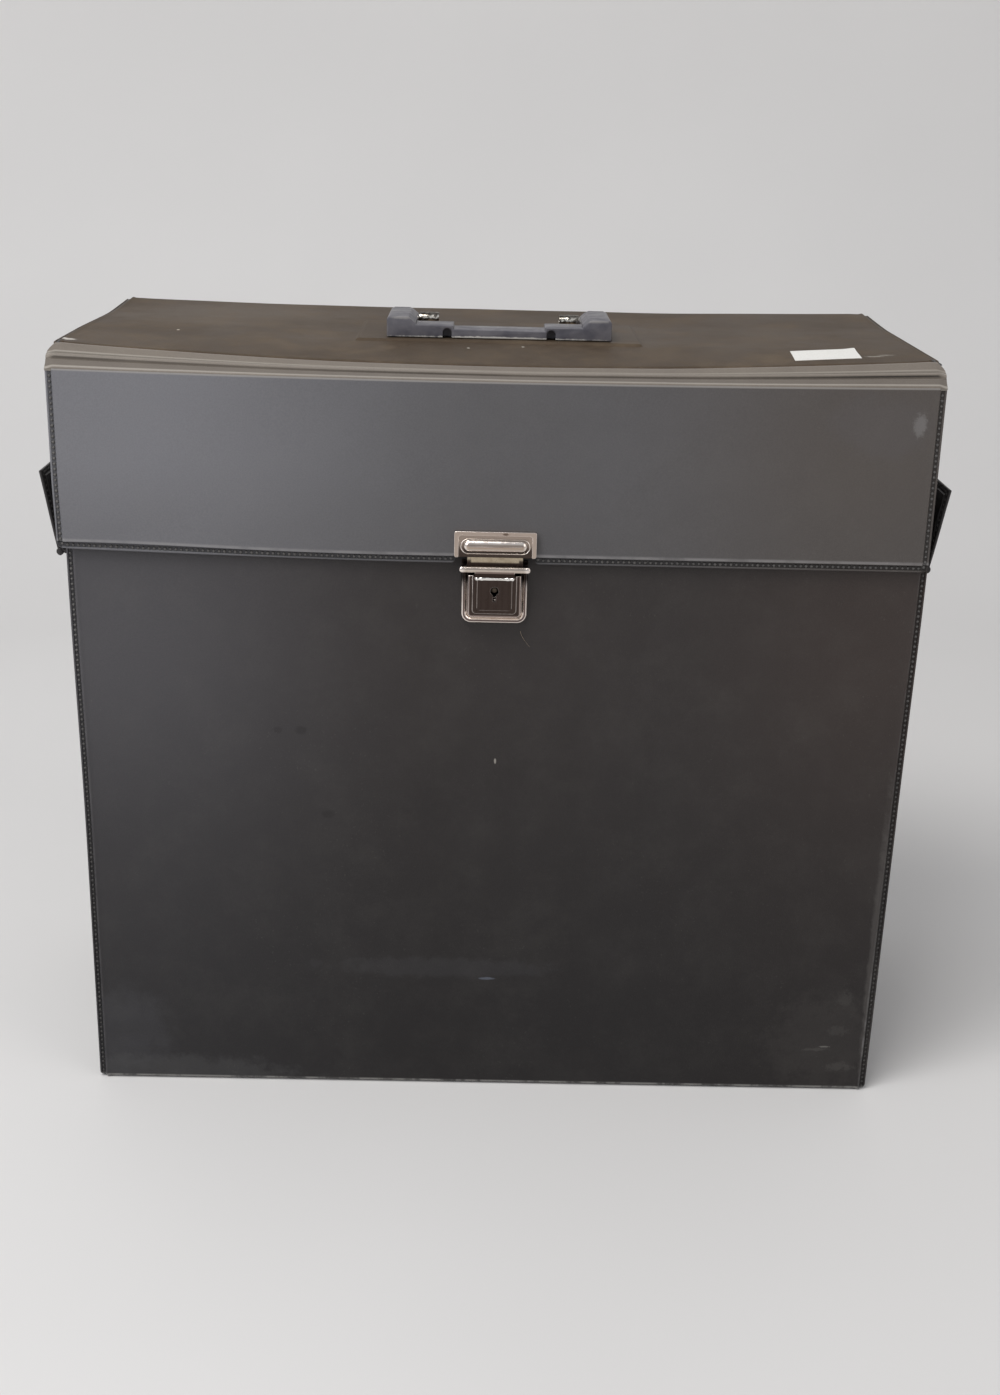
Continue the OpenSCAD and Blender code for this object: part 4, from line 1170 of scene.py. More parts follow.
@dataclass
class Stitching:
    """Pressed stitches across the welded channels, made by one Geometry Nodes tree."""

    pitch: float = 2.15
    length: float = 1.25
    across: float = 1.5
    rise: float = 0.9
    sizes: Pair = (0.86, 1.1)
    segments: int = 6
    rings: int = 4
    seed: int = 7
    runs: dict[Body, list[tuple[Array, Array]]] = field(default_factory=dict)
    tree: bpy.types.NodeTree | None = None

    def add(self, body: Body, points: Array, outward: Array | Sequence[float]) -> None:
        """Keeps a run of points in millimetres for a body, with the direction that faces out at each."""
        points = np.asarray(points, float)
        self.runs.setdefault(body, []).append((points, np.broadcast_to(outward, points.shape)))

    def build_tree(self, name: str, material: bpy.types.Material) -> None:
        """Builds the tree: runs to curves, resampled, with a bead turned along each.

        Args:
            name: The tree's name.
            material: The stitches' material.
        """
        tree = bpy.data.node_groups.new(name, "GeometryNodeTree")
        face = tree.interface
        face.new_socket("Runs", in_out="INPUT", socket_type="NodeSocketGeometry")
        for label in ("Pitch", "Length", "Across", "Rise"):
            face.new_socket(label, in_out="INPUT", socket_type="NodeSocketFloat")
        face.new_socket("Seed", in_out="INPUT", socket_type="NodeSocketInt")
        face.new_socket("Stitches", in_out="OUTPUT", socket_type="NodeSocketGeometry")
        add, join = tree.nodes.new, tree.links.new
        given = add("NodeGroupInput")
        curve = add("GeometryNodeMeshToCurve")
        even = add("GeometryNodeResampleCurve")
        even.mode = "LENGTH"
        bead = add("GeometryNodeMeshUVSphere")
        bead.inputs["Segments"].default_value = self.segments
        bead.inputs["Rings"].default_value = self.rings
        bead.inputs["Radius"].default_value = 0.5
        size = add("ShaderNodeCombineXYZ")
        shaped = add("GeometryNodeTransform")
        out = add("GeometryNodeInputNamedAttribute")
        out.data_type = "FLOAT_VECTOR"
        out.inputs["Name"].default_value = "out"
        put = add("GeometryNodeInstanceOnPoints")
        tangent = add("GeometryNodeInputTangent")
        turned = add("FunctionNodeAlignRotationToVector")
        turned.axis = "X"
        faced = add("FunctionNodeAlignRotationToVector")
        faced.axis = "Z"
        faced.pivot_axis = "X"
        vary = add("FunctionNodeRandomValue")
        vary.data_type = "FLOAT"
        vary.inputs[2].default_value, vary.inputs[3].default_value = self.sizes
        real = add("GeometryNodeRealizeInstances")
        painted = add("GeometryNodeSetMaterial")
        painted.inputs["Material"].default_value = material
        made = add("NodeGroupOutput")
        join(given.outputs["Runs"], curve.inputs["Mesh"])
        join(curve.outputs["Curve"], even.inputs["Curve"])
        join(given.outputs["Pitch"], even.inputs["Length"])
        for label, axis in (("Length", "X"), ("Across", "Y"), ("Rise", "Z")):
            join(given.outputs[label], size.inputs[axis])
        join(bead.outputs["Mesh"], shaped.inputs["Geometry"])
        join(size.outputs[0], shaped.inputs["Scale"])
        join(even.outputs["Curve"], put.inputs["Points"])
        join(shaped.outputs["Geometry"], put.inputs["Instance"])
        join(tangent.outputs[0], turned.inputs["Vector"])
        join(turned.outputs[0], faced.inputs["Rotation"])
        join(out.outputs[0], faced.inputs["Vector"])
        join(faced.outputs[0], put.inputs["Rotation"])
        join(given.outputs["Seed"], vary.inputs["Seed"])
        join(vary.outputs[1], put.inputs["Scale"])
        join(put.outputs["Instances"], real.inputs["Geometry"])
        join(real.outputs["Geometry"], painted.inputs["Geometry"])
        join(painted.outputs["Geometry"], made.inputs[0])
        self.tree = tree

    def sew(self, name: str, finish: Finish, slots: dict[Body, Slot]) -> None:
        """Makes one plain mesh of stitches for each body.

        Args:
            name: First part of the pieces' names.
            finish: The stitches' finish.
            slots: The slot named for each body's stitches, handed on to settle.
        """
        _made.setdefault(finish.name, finish.material())
        self.build_tree(name + "_tree", _made[finish.name])
        sockets = {s.name: s.identifier for s in self.tree.interface.items_tree}
        values = {"Pitch": self.pitch * MM, "Length": self.length * MM, "Across": self.across * MM,
                  "Rise": self.rise * MM, "Seed": self.seed}
        for body, runs in self.runs.items():
            points, edges = [], []
            for run, _ in runs:
                first = len(points)
                points += (run * MM).tolist()
                edges += [(first + i, first + i + 1) for i in range(len(run) - 1)]
            mesh = bpy.data.meshes.new(f"{name}_{body.value}")
            mesh.from_pydata(points, edges, [])
            facing = mesh.attributes.new("out", "FLOAT_VECTOR", "POINT")
            facing.data.foreach_set("vector", np.concatenate([o for _, o in runs]).ravel())
            piece = link_object(f"{name}_{body.value}", mesh)
            modifier = piece.modifiers.new("stitches", "NODES")
            modifier.node_group = self.tree
            for label, value in values.items():
                modifier[sockets[label]] = value
            piece.data = evaluated_mesh(piece)
            piece.modifiers.clear()
            piece.data.name = piece.name
            smooth_mesh(piece.data, SHARP_ROUND)
            settle(piece, finish, slots[body], body)


def dense(points: Sequence[Sequence[float]], step: float = 3.0) -> Array:
    """Points along straight legs, close enough together to be bent."""
    points = np.asarray(points, float)
    line = [points[:1]]
    for start, end in zip(points[:-1], points[1:]):
        count = max(1, math.ceil(float(np.linalg.norm(end - start)) / step))
        line.append(start + (end - start) * np.linspace(0, 1, count + 1)[1:, None])
    return np.concatenate(line)


# ---- the body


# A side panel's turned-out flange: distances in from its edge, and how far it stands out at each.
FLANGE_MARKS = (0, 0.1, 0.7, 0.82, 0.98, 1.25, 1.7, 2.4, 3.6)
FLANGE_RISE = (2.25, 2.35, 2.35, 2.1, 1.2, 0.5, 0.14, 0.0, 0.0)
# Grid heights near the top of a side panel, where the front wall ends and the corners are cut.
SIDE_TOP_MARKS = (294, 296.4, 297, 297.3, 298, 300, 304, 308, 312, 315, 316.6, 317.2)


@dataclass
class CaseBody:
    """The long vinyl wrap, the side panels and their linings."""

    half_width: float = SPREAD.half_width
    half_depth: float = 81.0
    front_top: float = 298.0
    back_top: float = 314.0
    side_top: float = 318.0
    side_x: float = 168.4
    lining_x: float = 165.1
    skin: float = 0.8
    fold_radius: float = 3.0
    lip_radius: float = 1.5
    lip_reach: float = 77.7
    welded_lip: float = 79.2
    wrap_step: float = 2.7
    wavy: Pair = (50.0, 250.0)
    flange_edge: float = 79.6
    flange_low: float = 1.4
    crown_from: float = 300.0
    stitches: Stitching = field(default_factory=Stitching)

    def wrap_path(self) -> tuple[Array, Array]:
        """The wrap's path in Y and Z from the front lip to the back lip, closest together low on the front.

        Returns:
            The path's points and its outward normals.
        """
        d, r, lip = self.half_depth, self.fold_radius, self.lip_radius
        angles = np.linspace(0, math.pi / 2, 7)
        corner = np.linspace(0, math.pi / 2, 5)
        parts: list[tuple[Array, Array]] = []

        def arc(centre: Pair, radius: float, start: float, sweep: Array) -> None:
            """Adds a rounded corner."""
            turn = start + sweep
            normal = np.stack([np.cos(turn), np.sin(turn)], -1)
            parts.append((np.array(centre) + radius * normal, normal))

        def leg(start: Pair, end: Pair, step: float, normal: Pair) -> None:
            """Adds the inside points of a straight leg, about a step apart."""
            count = max(1, math.ceil(math.dist(start, end) / step))
            t = np.linspace(0, 1, count + 1)[1:-1, None] if count > 1 else np.zeros((0, 1))
            points = np.array(start) + (np.array(end) - np.array(start)) * t
            parts.append((points, np.tile(normal, (len(points), 1))))

        parts.append((np.array([[-self.lip_reach, self.front_top]]), np.array([[0.0, 1.0]])))
        arc((-d + lip, self.front_top - lip), lip, math.pi / 2, corner)
        low, high = self.wavy
        leg((-d, self.front_top - lip), (-d, high), 4.0, (-1, 0))
        leg((-d, high), (-d, low), self.wrap_step, (-1, 0))
        leg((-d, low), (-d, r), 1.9, (-1, 0))
        arc((-d + r, r), r, math.pi, angles)
        leg((-d + r, 0), (d - r, 0), 6.5, (0, -1))
        arc((d - r, r), r, 1.5 * math.pi, angles)
        leg((d, r), (d, self.back_top - lip), 4.6, (1, 0))
        arc((d - lip, self.back_top - lip), lip, 0, corner)
        parts.append((np.array([[self.lip_reach, self.back_top]]), np.array([[0.0, 1.0]])))
        return np.concatenate([p[0] for p in parts]), np.concatenate([p[1] for p in parts])

    def front_swell(self, x: Array, z: Array) -> Array:
        """Waves, dents and creases of the front face, outward in millimetres."""
        ripples = np.sin(2 * math.pi * (z - 25) / 16) * bell(x + 165, 16) * bell(z - 25, 18)
        creases = sum(crease.rise(x, z) for crease in FRONT_CREASES)
        dent = bell(x - 158, 14) * bell(z - 20, 13)
        return (undulation(x, z, 0.3, 11) + 0.75 * ripples - 0.5 * dent + creases
                + undulation(x, z, 0.12, 5, 22, 40) * ease((90 - z) / 80))

    def build_wrap(self) -> Piece:
        """The wrap round the front, the base and the back."""
        path, normals = self.wrap_path()
        x = ruler(-self.half_width, self.half_width, self.wrap_step)
        edge = self.half_width - np.abs(x)
        relief = WELD.relief(edge)
        y, z = path[:, :1], path[:, 1:]
        ny, nz = normals[:, :1], normals[:, 1:]
        over_fold = ease((z - self.fold_radius) / 6)
        on_front = (ny < -0.99) * over_fold * ease((self.front_top - 6 - z) / 8)
        on_back = (ny > 0.99) * over_fold * ease((self.back_top - 6 - z) / 8)
        inside = ease((edge - 4.5) / 7)
        swell = on_front * self.front_swell(x[None], z) + on_back * undulation(x[None], z, 0.35, 23)
        lift = relief[None] + inside * swell
        wide = SPREAD.place(x[None], y, z)
        outer = stacked(wide, y + ny * lift, z + nz * lift)
        deep = relief[None] - self.skin
        inner = stacked(wide, y + ny * deep, z + nz * deep)
        margin = edge < WELD.margin
        for end in (0, -1):
            for grid in (outer, inner):
                grid[end, margin, 1] = math.copysign(self.welded_lip, path[end, 0])
        piece = shell("wrap_skin", outer, inner, 40)
        return settle(piece, BODY_VINYL, Slot.VINYL_BODY, Body.CASE, "wrap_cover")

    def side_crown(self, y: Array) -> Array:
        """Height of a side panel's top at a place in Y, with its corners cut for the hinge strips."""
        front = np.interp(y, [-79.6, -77.0, -75.0], [312.0, 315.4, 318.0])
        back = np.interp(y, [73.6, 76.0, 79.6], [318.0, 315.6, 311.8])
        return np.minimum(np.minimum(front, back), self.side_top)

    def build_side(self, side: Side) -> Piece:
        """One side panel: a flat wall that turns out into flanges and caps its board.

        Args:
            side: The end it stands at.

        Returns:
            The panel.
        """
        e, low, top = self.flange_edge, self.flange_low, self.crown_from
        marks = np.array(FLANGE_MARKS)
        y = np.unique(np.round(np.concatenate([-e + marks, np.linspace(-e + 6, e - 6, 34), e - marks]), 4))
        z = np.unique(np.round(np.concatenate([low + marks, np.linspace(low + 6, 290, 56), SIDE_TOP_MARKS]), 4))
        crown = self.side_crown(y)
        share = np.clip((z - top) / (SIDE_TOP_MARKS[-1] - top), 0, 1)[:, None]
        height = np.where(z[:, None] > top, top + share * (crown[None] - self.skin - top), z[:, None])
        front_up = ease((297.3 - z) / 0.9)[:, None] * np.interp(y + e, FLANGE_MARKS, FLANGE_RISE)[None]
        back_up = ease((311 - z) / 2)[:, None] * np.interp(e - y, FLANGE_MARKS, FLANGE_RISE)[None]
        base_up = np.interp(z - low, FLANGE_MARKS, FLANGE_RISE)[:, None]
        flange = np.maximum(np.maximum(front_up, back_up), base_up)
        free = ease((5 - np.abs(e - np.abs(y)[None])) / 5)
        wave = undulation(y[None], z[:, None], 0.16, 31 if side is Side.LEFT else 37) * (1 - free)
        wave = wave * ease((z[:, None] - 6) / 12) * ease((306 - z[:, None]) / 14) + 0 * y[None]
        wall, back = self.side_x, self.side_x - self.skin
        outer = [stacked(wall + flange + wave, y[None], height)]
        inner = [stacked(np.full_like(flange, back), y[None], height)]
        for place, drop in ((wall - 0.18, -0.3), (wall - 0.6, -0.06), (wall - 1.1, 0.0), (self.lining_x, 0.0)):
            outer.append(stacked(np.full((1, len(y)), place), y[None], (crown + drop)[None]))
            inner.append(stacked(np.full((1, len(y)), min(place, back)), y[None], (crown - self.skin)[None]))
        grid_out, grid_in = np.concatenate(outer), np.concatenate(inner)
        for grid in (grid_out, grid_in):
            grid[..., 0] = SPREAD.place(side.value * grid[..., 0], grid[..., 1], grid[..., 2])
        piece = shell(f"side_skin_{side.word}", grid_out, grid_in, 38)
        return settle(piece, BODY_VINYL, Slot.VINYL_BODY, Body.CASE, f"side_cover_{side.word}")

    def mark_stitches(self) -> None:
        """A run of stitches in each of the wrap's two margins, from lip to lip."""
        path, normals = self.wrap_path()
        keep = normals[:, 1] < 0.5
        path, normals = path[keep], normals[keep]
        facing = np.column_stack([0 * path[:, 0], normals])
        deep = path - normals * (WELD.stitch_depth - 0.1)
        for side in Side:
            run = np.full(len(deep), side.value * (self.half_width - WELD.run))
            x = SPREAD.place(run, deep[:, 0], deep[:, 1])
            self.stitches.add(Body.CASE, np.column_stack([x, deep]), facing)

    def build(self) -> None:
        """Builds and dresses the body's pieces."""
        self.build_wrap()
        for side in Side:
            self.build_side(side)
            dress_node(f"side_board_{side.word}", BOARD)
            dress_node(f"side_lining_{side.word}", LINING)
        for node in ("front_board", "base_board", "back_board"):
            dress_node(node, BOARD)
        dress_node("wrap_lining", LINING)
        self.mark_stitches()


# ---- the lid, the flap and the strips between them


@dataclass
class HingeStrip:
    """A ridged soft strip between two panels, drawn as a band with two grooves and a ridge."""

    name: str
    upper: Pair
    lower: Pair
    thick: float = 1.3
    rises: Pair = (0.32, 0.3)
    ridge: float = 1.1
    ridge_share: float = 0.72
    groove_depth: float = 0.75
    grooves: Pair = (0.39, 0.61)
    groove_widths: Pair = (0.34, 0.4)
    lip: float = 0.35
    lip_from: float = 0.86
    end_sink: float = 0.35

    def profile(self, u: Array, run: float) -> Array:
        """The strip's section.

        Args:
            u: Shares of the way across it.
            run: The way across, in millimetres.

        Returns:
            Heights over the chord.
        """
        first, second = self.grooves
        upper = self.rises[0] * np.clip(1 - ((u - first / 2) / (first / 2)) ** 4, -1, 1) * (u < first)
        lower = self.rises[1] + self.lip * ease((u - self.lip_from) / 0.08)
        lower = lower * np.clip(1 - ((u - (1 + second) / 2) / ((1 - second) / 2)) ** 6, -1, 1) * (u > second)
        ridge = np.sqrt(np.clip(self.ridge ** 2 - ((u - 0.5) * run) ** 2, 0, None)) * self.ridge_share
        wide, wider = self.groove_widths
        cut = self.groove_depth * (bell((u - first) * run, wide) + bell((u - second) * run, wider))
        return upper + lower + ridge - cut

    def build(self, lift: Callable[[Array], Array], drop: Callable[[Array], Array]) -> Piece:
        """The strip's mesh.

        Args:
            lift: Change of height of the upper edge at a place in X.
            drop: Change of height of the lower edge at a place in X.

        Returns:
            The object, with no body yet.
        """
        x = ruler(-SHAPE.half_width, SHAPE.half_width, 4.2)
        centres = (*self.grooves, 0.5)
        u = np.unique(np.round(np.concatenate(
            [np.linspace(0, 1, 25)] + [c + np.linspace(-0.09, 0.09, 13) for c in centres]
            + [np.array([0.006, 0.015, 0.03, 0.985, 0.994])]), 4))
        top = stacked(x, np.full_like(x, self.upper[0]), self.upper[1] + lift(x))
        low = stacked(x, np.full_like(x, self.lower[0]), self.lower[1] + drop(x))
        chord = low - top
        run = np.linalg.norm(chord, axis=1)
        along = chord / run[:, None]
        outward = math.copysign(1, (self.upper[1] - self.lower[1]) * (self.lower[0] - self.upper[0]))
        normal = np.stack([0 * x, -along[:, 2], along[:, 1]], -1) * outward
        edge = SHAPE.half_width - np.abs(x)
        full = ease(edge / 3.6)[None]
        height = self.profile(u[:, None], float(run.mean())) * (0.25 + 0.75 * full) - self.end_sink * (1 - full)
        height = height + undulation(u[:, None] * 30, x[None], 0.08, 3, 30, 90)
        base = top[None] + u[:, None, None] * chord[None]
        outer = base + height[..., None] * normal[None]
        inner = base - self.thick * normal[None]
        taper = SHAPE.corner * np.clip(1 - u / 0.4, 0, 1) ** 2 - 0.5 * bell(u - 0.46, 0.24)
        for grid in (outer, inner):
            grid[..., 0] -= np.sign(x)[None] * taper[:, None] * ease(1 - edge[None] / 14)
            if self.lower[0] < 0:
                grid[..., 0] += SHAPE.flare(x)[None]
        return shell(self.name, outer, inner, 50)


@dataclass
class LidPanel:
    """The lid's vinyl, board and lining, warped together, and the two hinge strips."""

    stiffener: Triple = (58.8, -36.8, 25.3)
    swell: float = 0.8
    rim: float = 0.16
    end_drop: float = 0.5
    skin: float = 0.8
    step: float = 3.0
    board_cells: tuple[int, int] = (12, 7)
    stitches: Stitching = field(default_factory=Stitching)

    def top_height(self, x: Array, y: Array) -> Array:
        """Height of the lid's outer face."""
        half, front, back = self.stiffener
        across = ease((half - np.abs(x)) / 1.6 + 0.5)
        along = ease((y - front) / 1.6 + 0.5) * ease((back - y) / 1.6 + 0.5)
        rim = self.rim * bell(y - front - 0.9, 0.9) * across
        edge = SHAPE.half_width - np.abs(x)
        free = ease((edge - 4.5) / 6) * (1 - across * along)
        ends = self.end_drop * (ease(1 - (y - SHAPE.front) / 0.9) + ease(1 - (SHAPE.back - y) / 0.9))
        return (SHAPE.top + WELD.relief(edge) + self.swell * across * along + rim + SHAPE.warp(x, y)
                + free * undulation(x, y, 0.22, 41, 50, 120) - ends)

    def build_skin(self) -> Piece:
        """The lid's outer vinyl with the swell over its stiffener."""
        half, front, back = self.stiffener
        x = ruler(-SHAPE.half_width, SHAPE.half_width, self.step, marks=(-half, half))
        y = ruler(SHAPE.front, SHAPE.back, self.step, (False, False), (front, back))
        near = np.array([0.15, 0.35, 0.6, 0.95])
        y = np.unique(np.concatenate([y, SHAPE.front + near, SHAPE.back - near]))
        z = self.top_height(x[None], y[:, None])
        across = SHAPE.plan(x[None], y[:, None])
        outer = stacked(across, y[:, None], z)
        inner = stacked(across, y[:, None], z - self.skin)
        return settle(shell("lid_skin", outer, inner), LID_VINYL, Slot.VINYL_LID, Body.LID, "lid_cover")

    def warped_copy(self, node: str, name: str) -> Piece:
        """A copy of a flat CAD sheet of the lid, cut into cells and warped with it.

        Args:
            node: The CAD node, which the copy replaces.
            name: The new piece's name.

        Returns:
            The piece, not yet dressed.
        """
        work = node_mesh(node)
        wide, deep = self.board_cells
        cuts = [((x * MM, 0, 0), (1, 0, 0)) for x in range(-14 * wide, 14 * wide + 1, wide)]
        cuts += [((0, y * MM, 0), (0, 1, 0)) for y in range(-10 * deep, 10 * deep + 1, deep)]
        for place, normal in cuts:
            bmesh.ops.bisect_plane(work, geom=work.verts[:] + work.edges[:] + work.faces[:], dist=1e-7,
                                   plane_co=place, plane_no=normal)
        points = np.array([v.co for v in work.verts]) / MM
        lift = SHAPE.warp(points[:, 0], points[:, 1]) * MM
        for vertex, up in zip(work.verts, lift):
            vertex.co.z += up
        mesh = bpy.data.meshes.new(name)
        work.to_mesh(mesh)
        work.free()
        smooth_mesh(mesh, 30)
        piece = link_object(name, mesh)
        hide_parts(node)
        return piece

    def build_strips(self) -> None:
        """The front strip, from the lid to the flap, and the back strip, from the lid to the body."""
        upper, lower = SHAPE.strip_top, SHAPE.flap_top
        front = HingeStrip("front_web", (SHAPE.front, upper), (FlapPanel.face, lower))
        web = front.build(lambda x: SHAPE.warp(x, np.full_like(x, SHAPE.front)),
                          lambda x: SHAPE.flap_edge(x) - lower)
        dress(web, STRIP_VINYL)
        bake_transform(web)
        LOG.info("front_web bends from lid to flap")
        back = HingeStrip("back_web", (SHAPE.back, upper), (CaseBody.half_depth, CaseBody.back_top))
        web = back.build(lambda x: SHAPE.warp(x, np.full_like(x, SHAPE.back)), lambda x: 0 * x)
        dress(web, STRIP_VINYL)
        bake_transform(web)
        LOG.info("back_web bends from body to lid")

    def mark_stitches(self) -> None:
        """Runs in the lid's two end margins."""
        y = np.linspace(SHAPE.front + 1.5, SHAPE.back - 1.5, 50)
        for side in Side:
            x = np.full_like(y, side.value * (SHAPE.half_width - WELD.run))
            points = np.column_stack([SHAPE.plan(x, y), y, self.top_height(x, y) + 0.1])
            self.stitches.add(Body.LID, points, (0, 0, 1))

    def build(self) -> None:
        """Builds and dresses the lid's pieces."""
        self.build_skin()
        settle(self.warped_copy("lid_board", "lid_board_warped"), BOARD, Slot.CHIPBOARD, Body.LID)
        settle(self.warped_copy("lid_lining", "lid_lining_warped"), LINING, Slot.LINING, Body.LID)
        dress_node("handle_stiffener", STIFFENER_CARD)
        self.build_strips()
        self.mark_stitches()


@dataclass
class FlapPanel:
    """The front flap's vinyl, with three welded margins."""

    low: float = 244.0
    face: float = -85.0
    corner: float = 2.5
    skin: float = 0.8
    bow_from: float = 290.0
    fullness: float = 0.35
    column: float = 2.7
    row: float = 2.6
    stitches: Stitching = field(default_factory=Stitching)

    def flare(self, x: Array, up: Array) -> Array:
        """Change of X where the flap has spread with the lid, least at its lower edge."""
        return SHAPE.flare(x) * (0.6 + 0.4 * ease(up / 30))

    def swell(self, x: Array, z: Array) -> Array:
        """Waves and creases of the flap, outward in millimetres."""
        creases = sum(crease.rise(x, z) for crease in FLAP_CREASES)
        fullness = self.fullness * bell(z - 282, 30) * (1 - (x / SHAPE.half_width) ** 4)
        return undulation(x, z, 0.32, 53, 45, 120) + creases + fullness

    def build_skin(self) -> Piece:
        """The flap's outer vinyl, with finer columns where it turns to hang beside the lock."""
        half, top = SHAPE.half_width, SHAPE.flap_top
        x = ruler(-half, half, self.column)
        beside = HANG.lock_half + np.array([0.0, 0.6, 1.1, 1.6, 2.2])
        x = np.union1d(x[np.abs(np.abs(x) - beside[2]) > 1.8], np.concatenate([-beside, beside]))
        v = ruler(self.low, top, self.row, (True, False))
        edge = half - np.abs(x)[None]
        up = v[:, None] - self.low
        share = (v - self.bow_from) / (top - self.bow_from)
        height = v[:, None] + np.clip(share, 0, 1)[:, None] * (SHAPE.flap_edge(x) - top)[None]
        height = height + HANG.change(x[None], up)
        turn = np.clip(self.corner - up, 0, None)
        inset = self.corner - np.sqrt(np.clip(self.corner ** 2 - turn ** 2, 0, None))
        across = np.sign(x)[None] * (np.abs(x)[None] - inset * np.clip(1 - edge / 6, 0, 1))
        across = across + self.flare(x[None], up)
        relief = np.minimum(WELD.relief(edge), WELD.relief(up))
        inside = ease((np.minimum(edge, up) - 4.5) / 8) * ease((top - v[:, None]) / 8)
        lift = relief + inside * self.swell(across, height)
        outer = stacked(across, self.face - lift, height)
        inner = stacked(across, self.face - relief + self.skin, height)
        piece = shell("flap_skin", outer, inner)
        return settle(piece, FLAP_VINYL, Slot.VINYL_FLAP, Body.FLAP, "flap_cover")

    def mark_stitches(self) -> None:
        """One run down the left margin, along the bottom and up the right."""
        half, top = SHAPE.half_width - WELD.run, SHAPE.flap_top - 1.5
        y = self.face + WELD.stitch_depth - 0.1
        z = self.low + WELD.run
        points = dense([(-half, y, top), (-half, y, z + 1), (-half + 1, y, z), (half - 1, y, z),
                        (half, y, z + 1), (half, y, top)])
        up = points[:, 2] - self.low
        points[:, 2] += HANG.change(points[:, 0], up)
        points[:, 0] += self.flare(points[:, 0], up)
        self.stitches.add(Body.FLAP, points, (0, -1, 0))

    def build(self) -> None:
        """Builds and dresses the flap's pieces."""
        self.build_skin()
        dress_node("flap_board", BOARD)
        dress_node("flap_lining", LINING)
        self.mark_stitches()


# ---- the ears


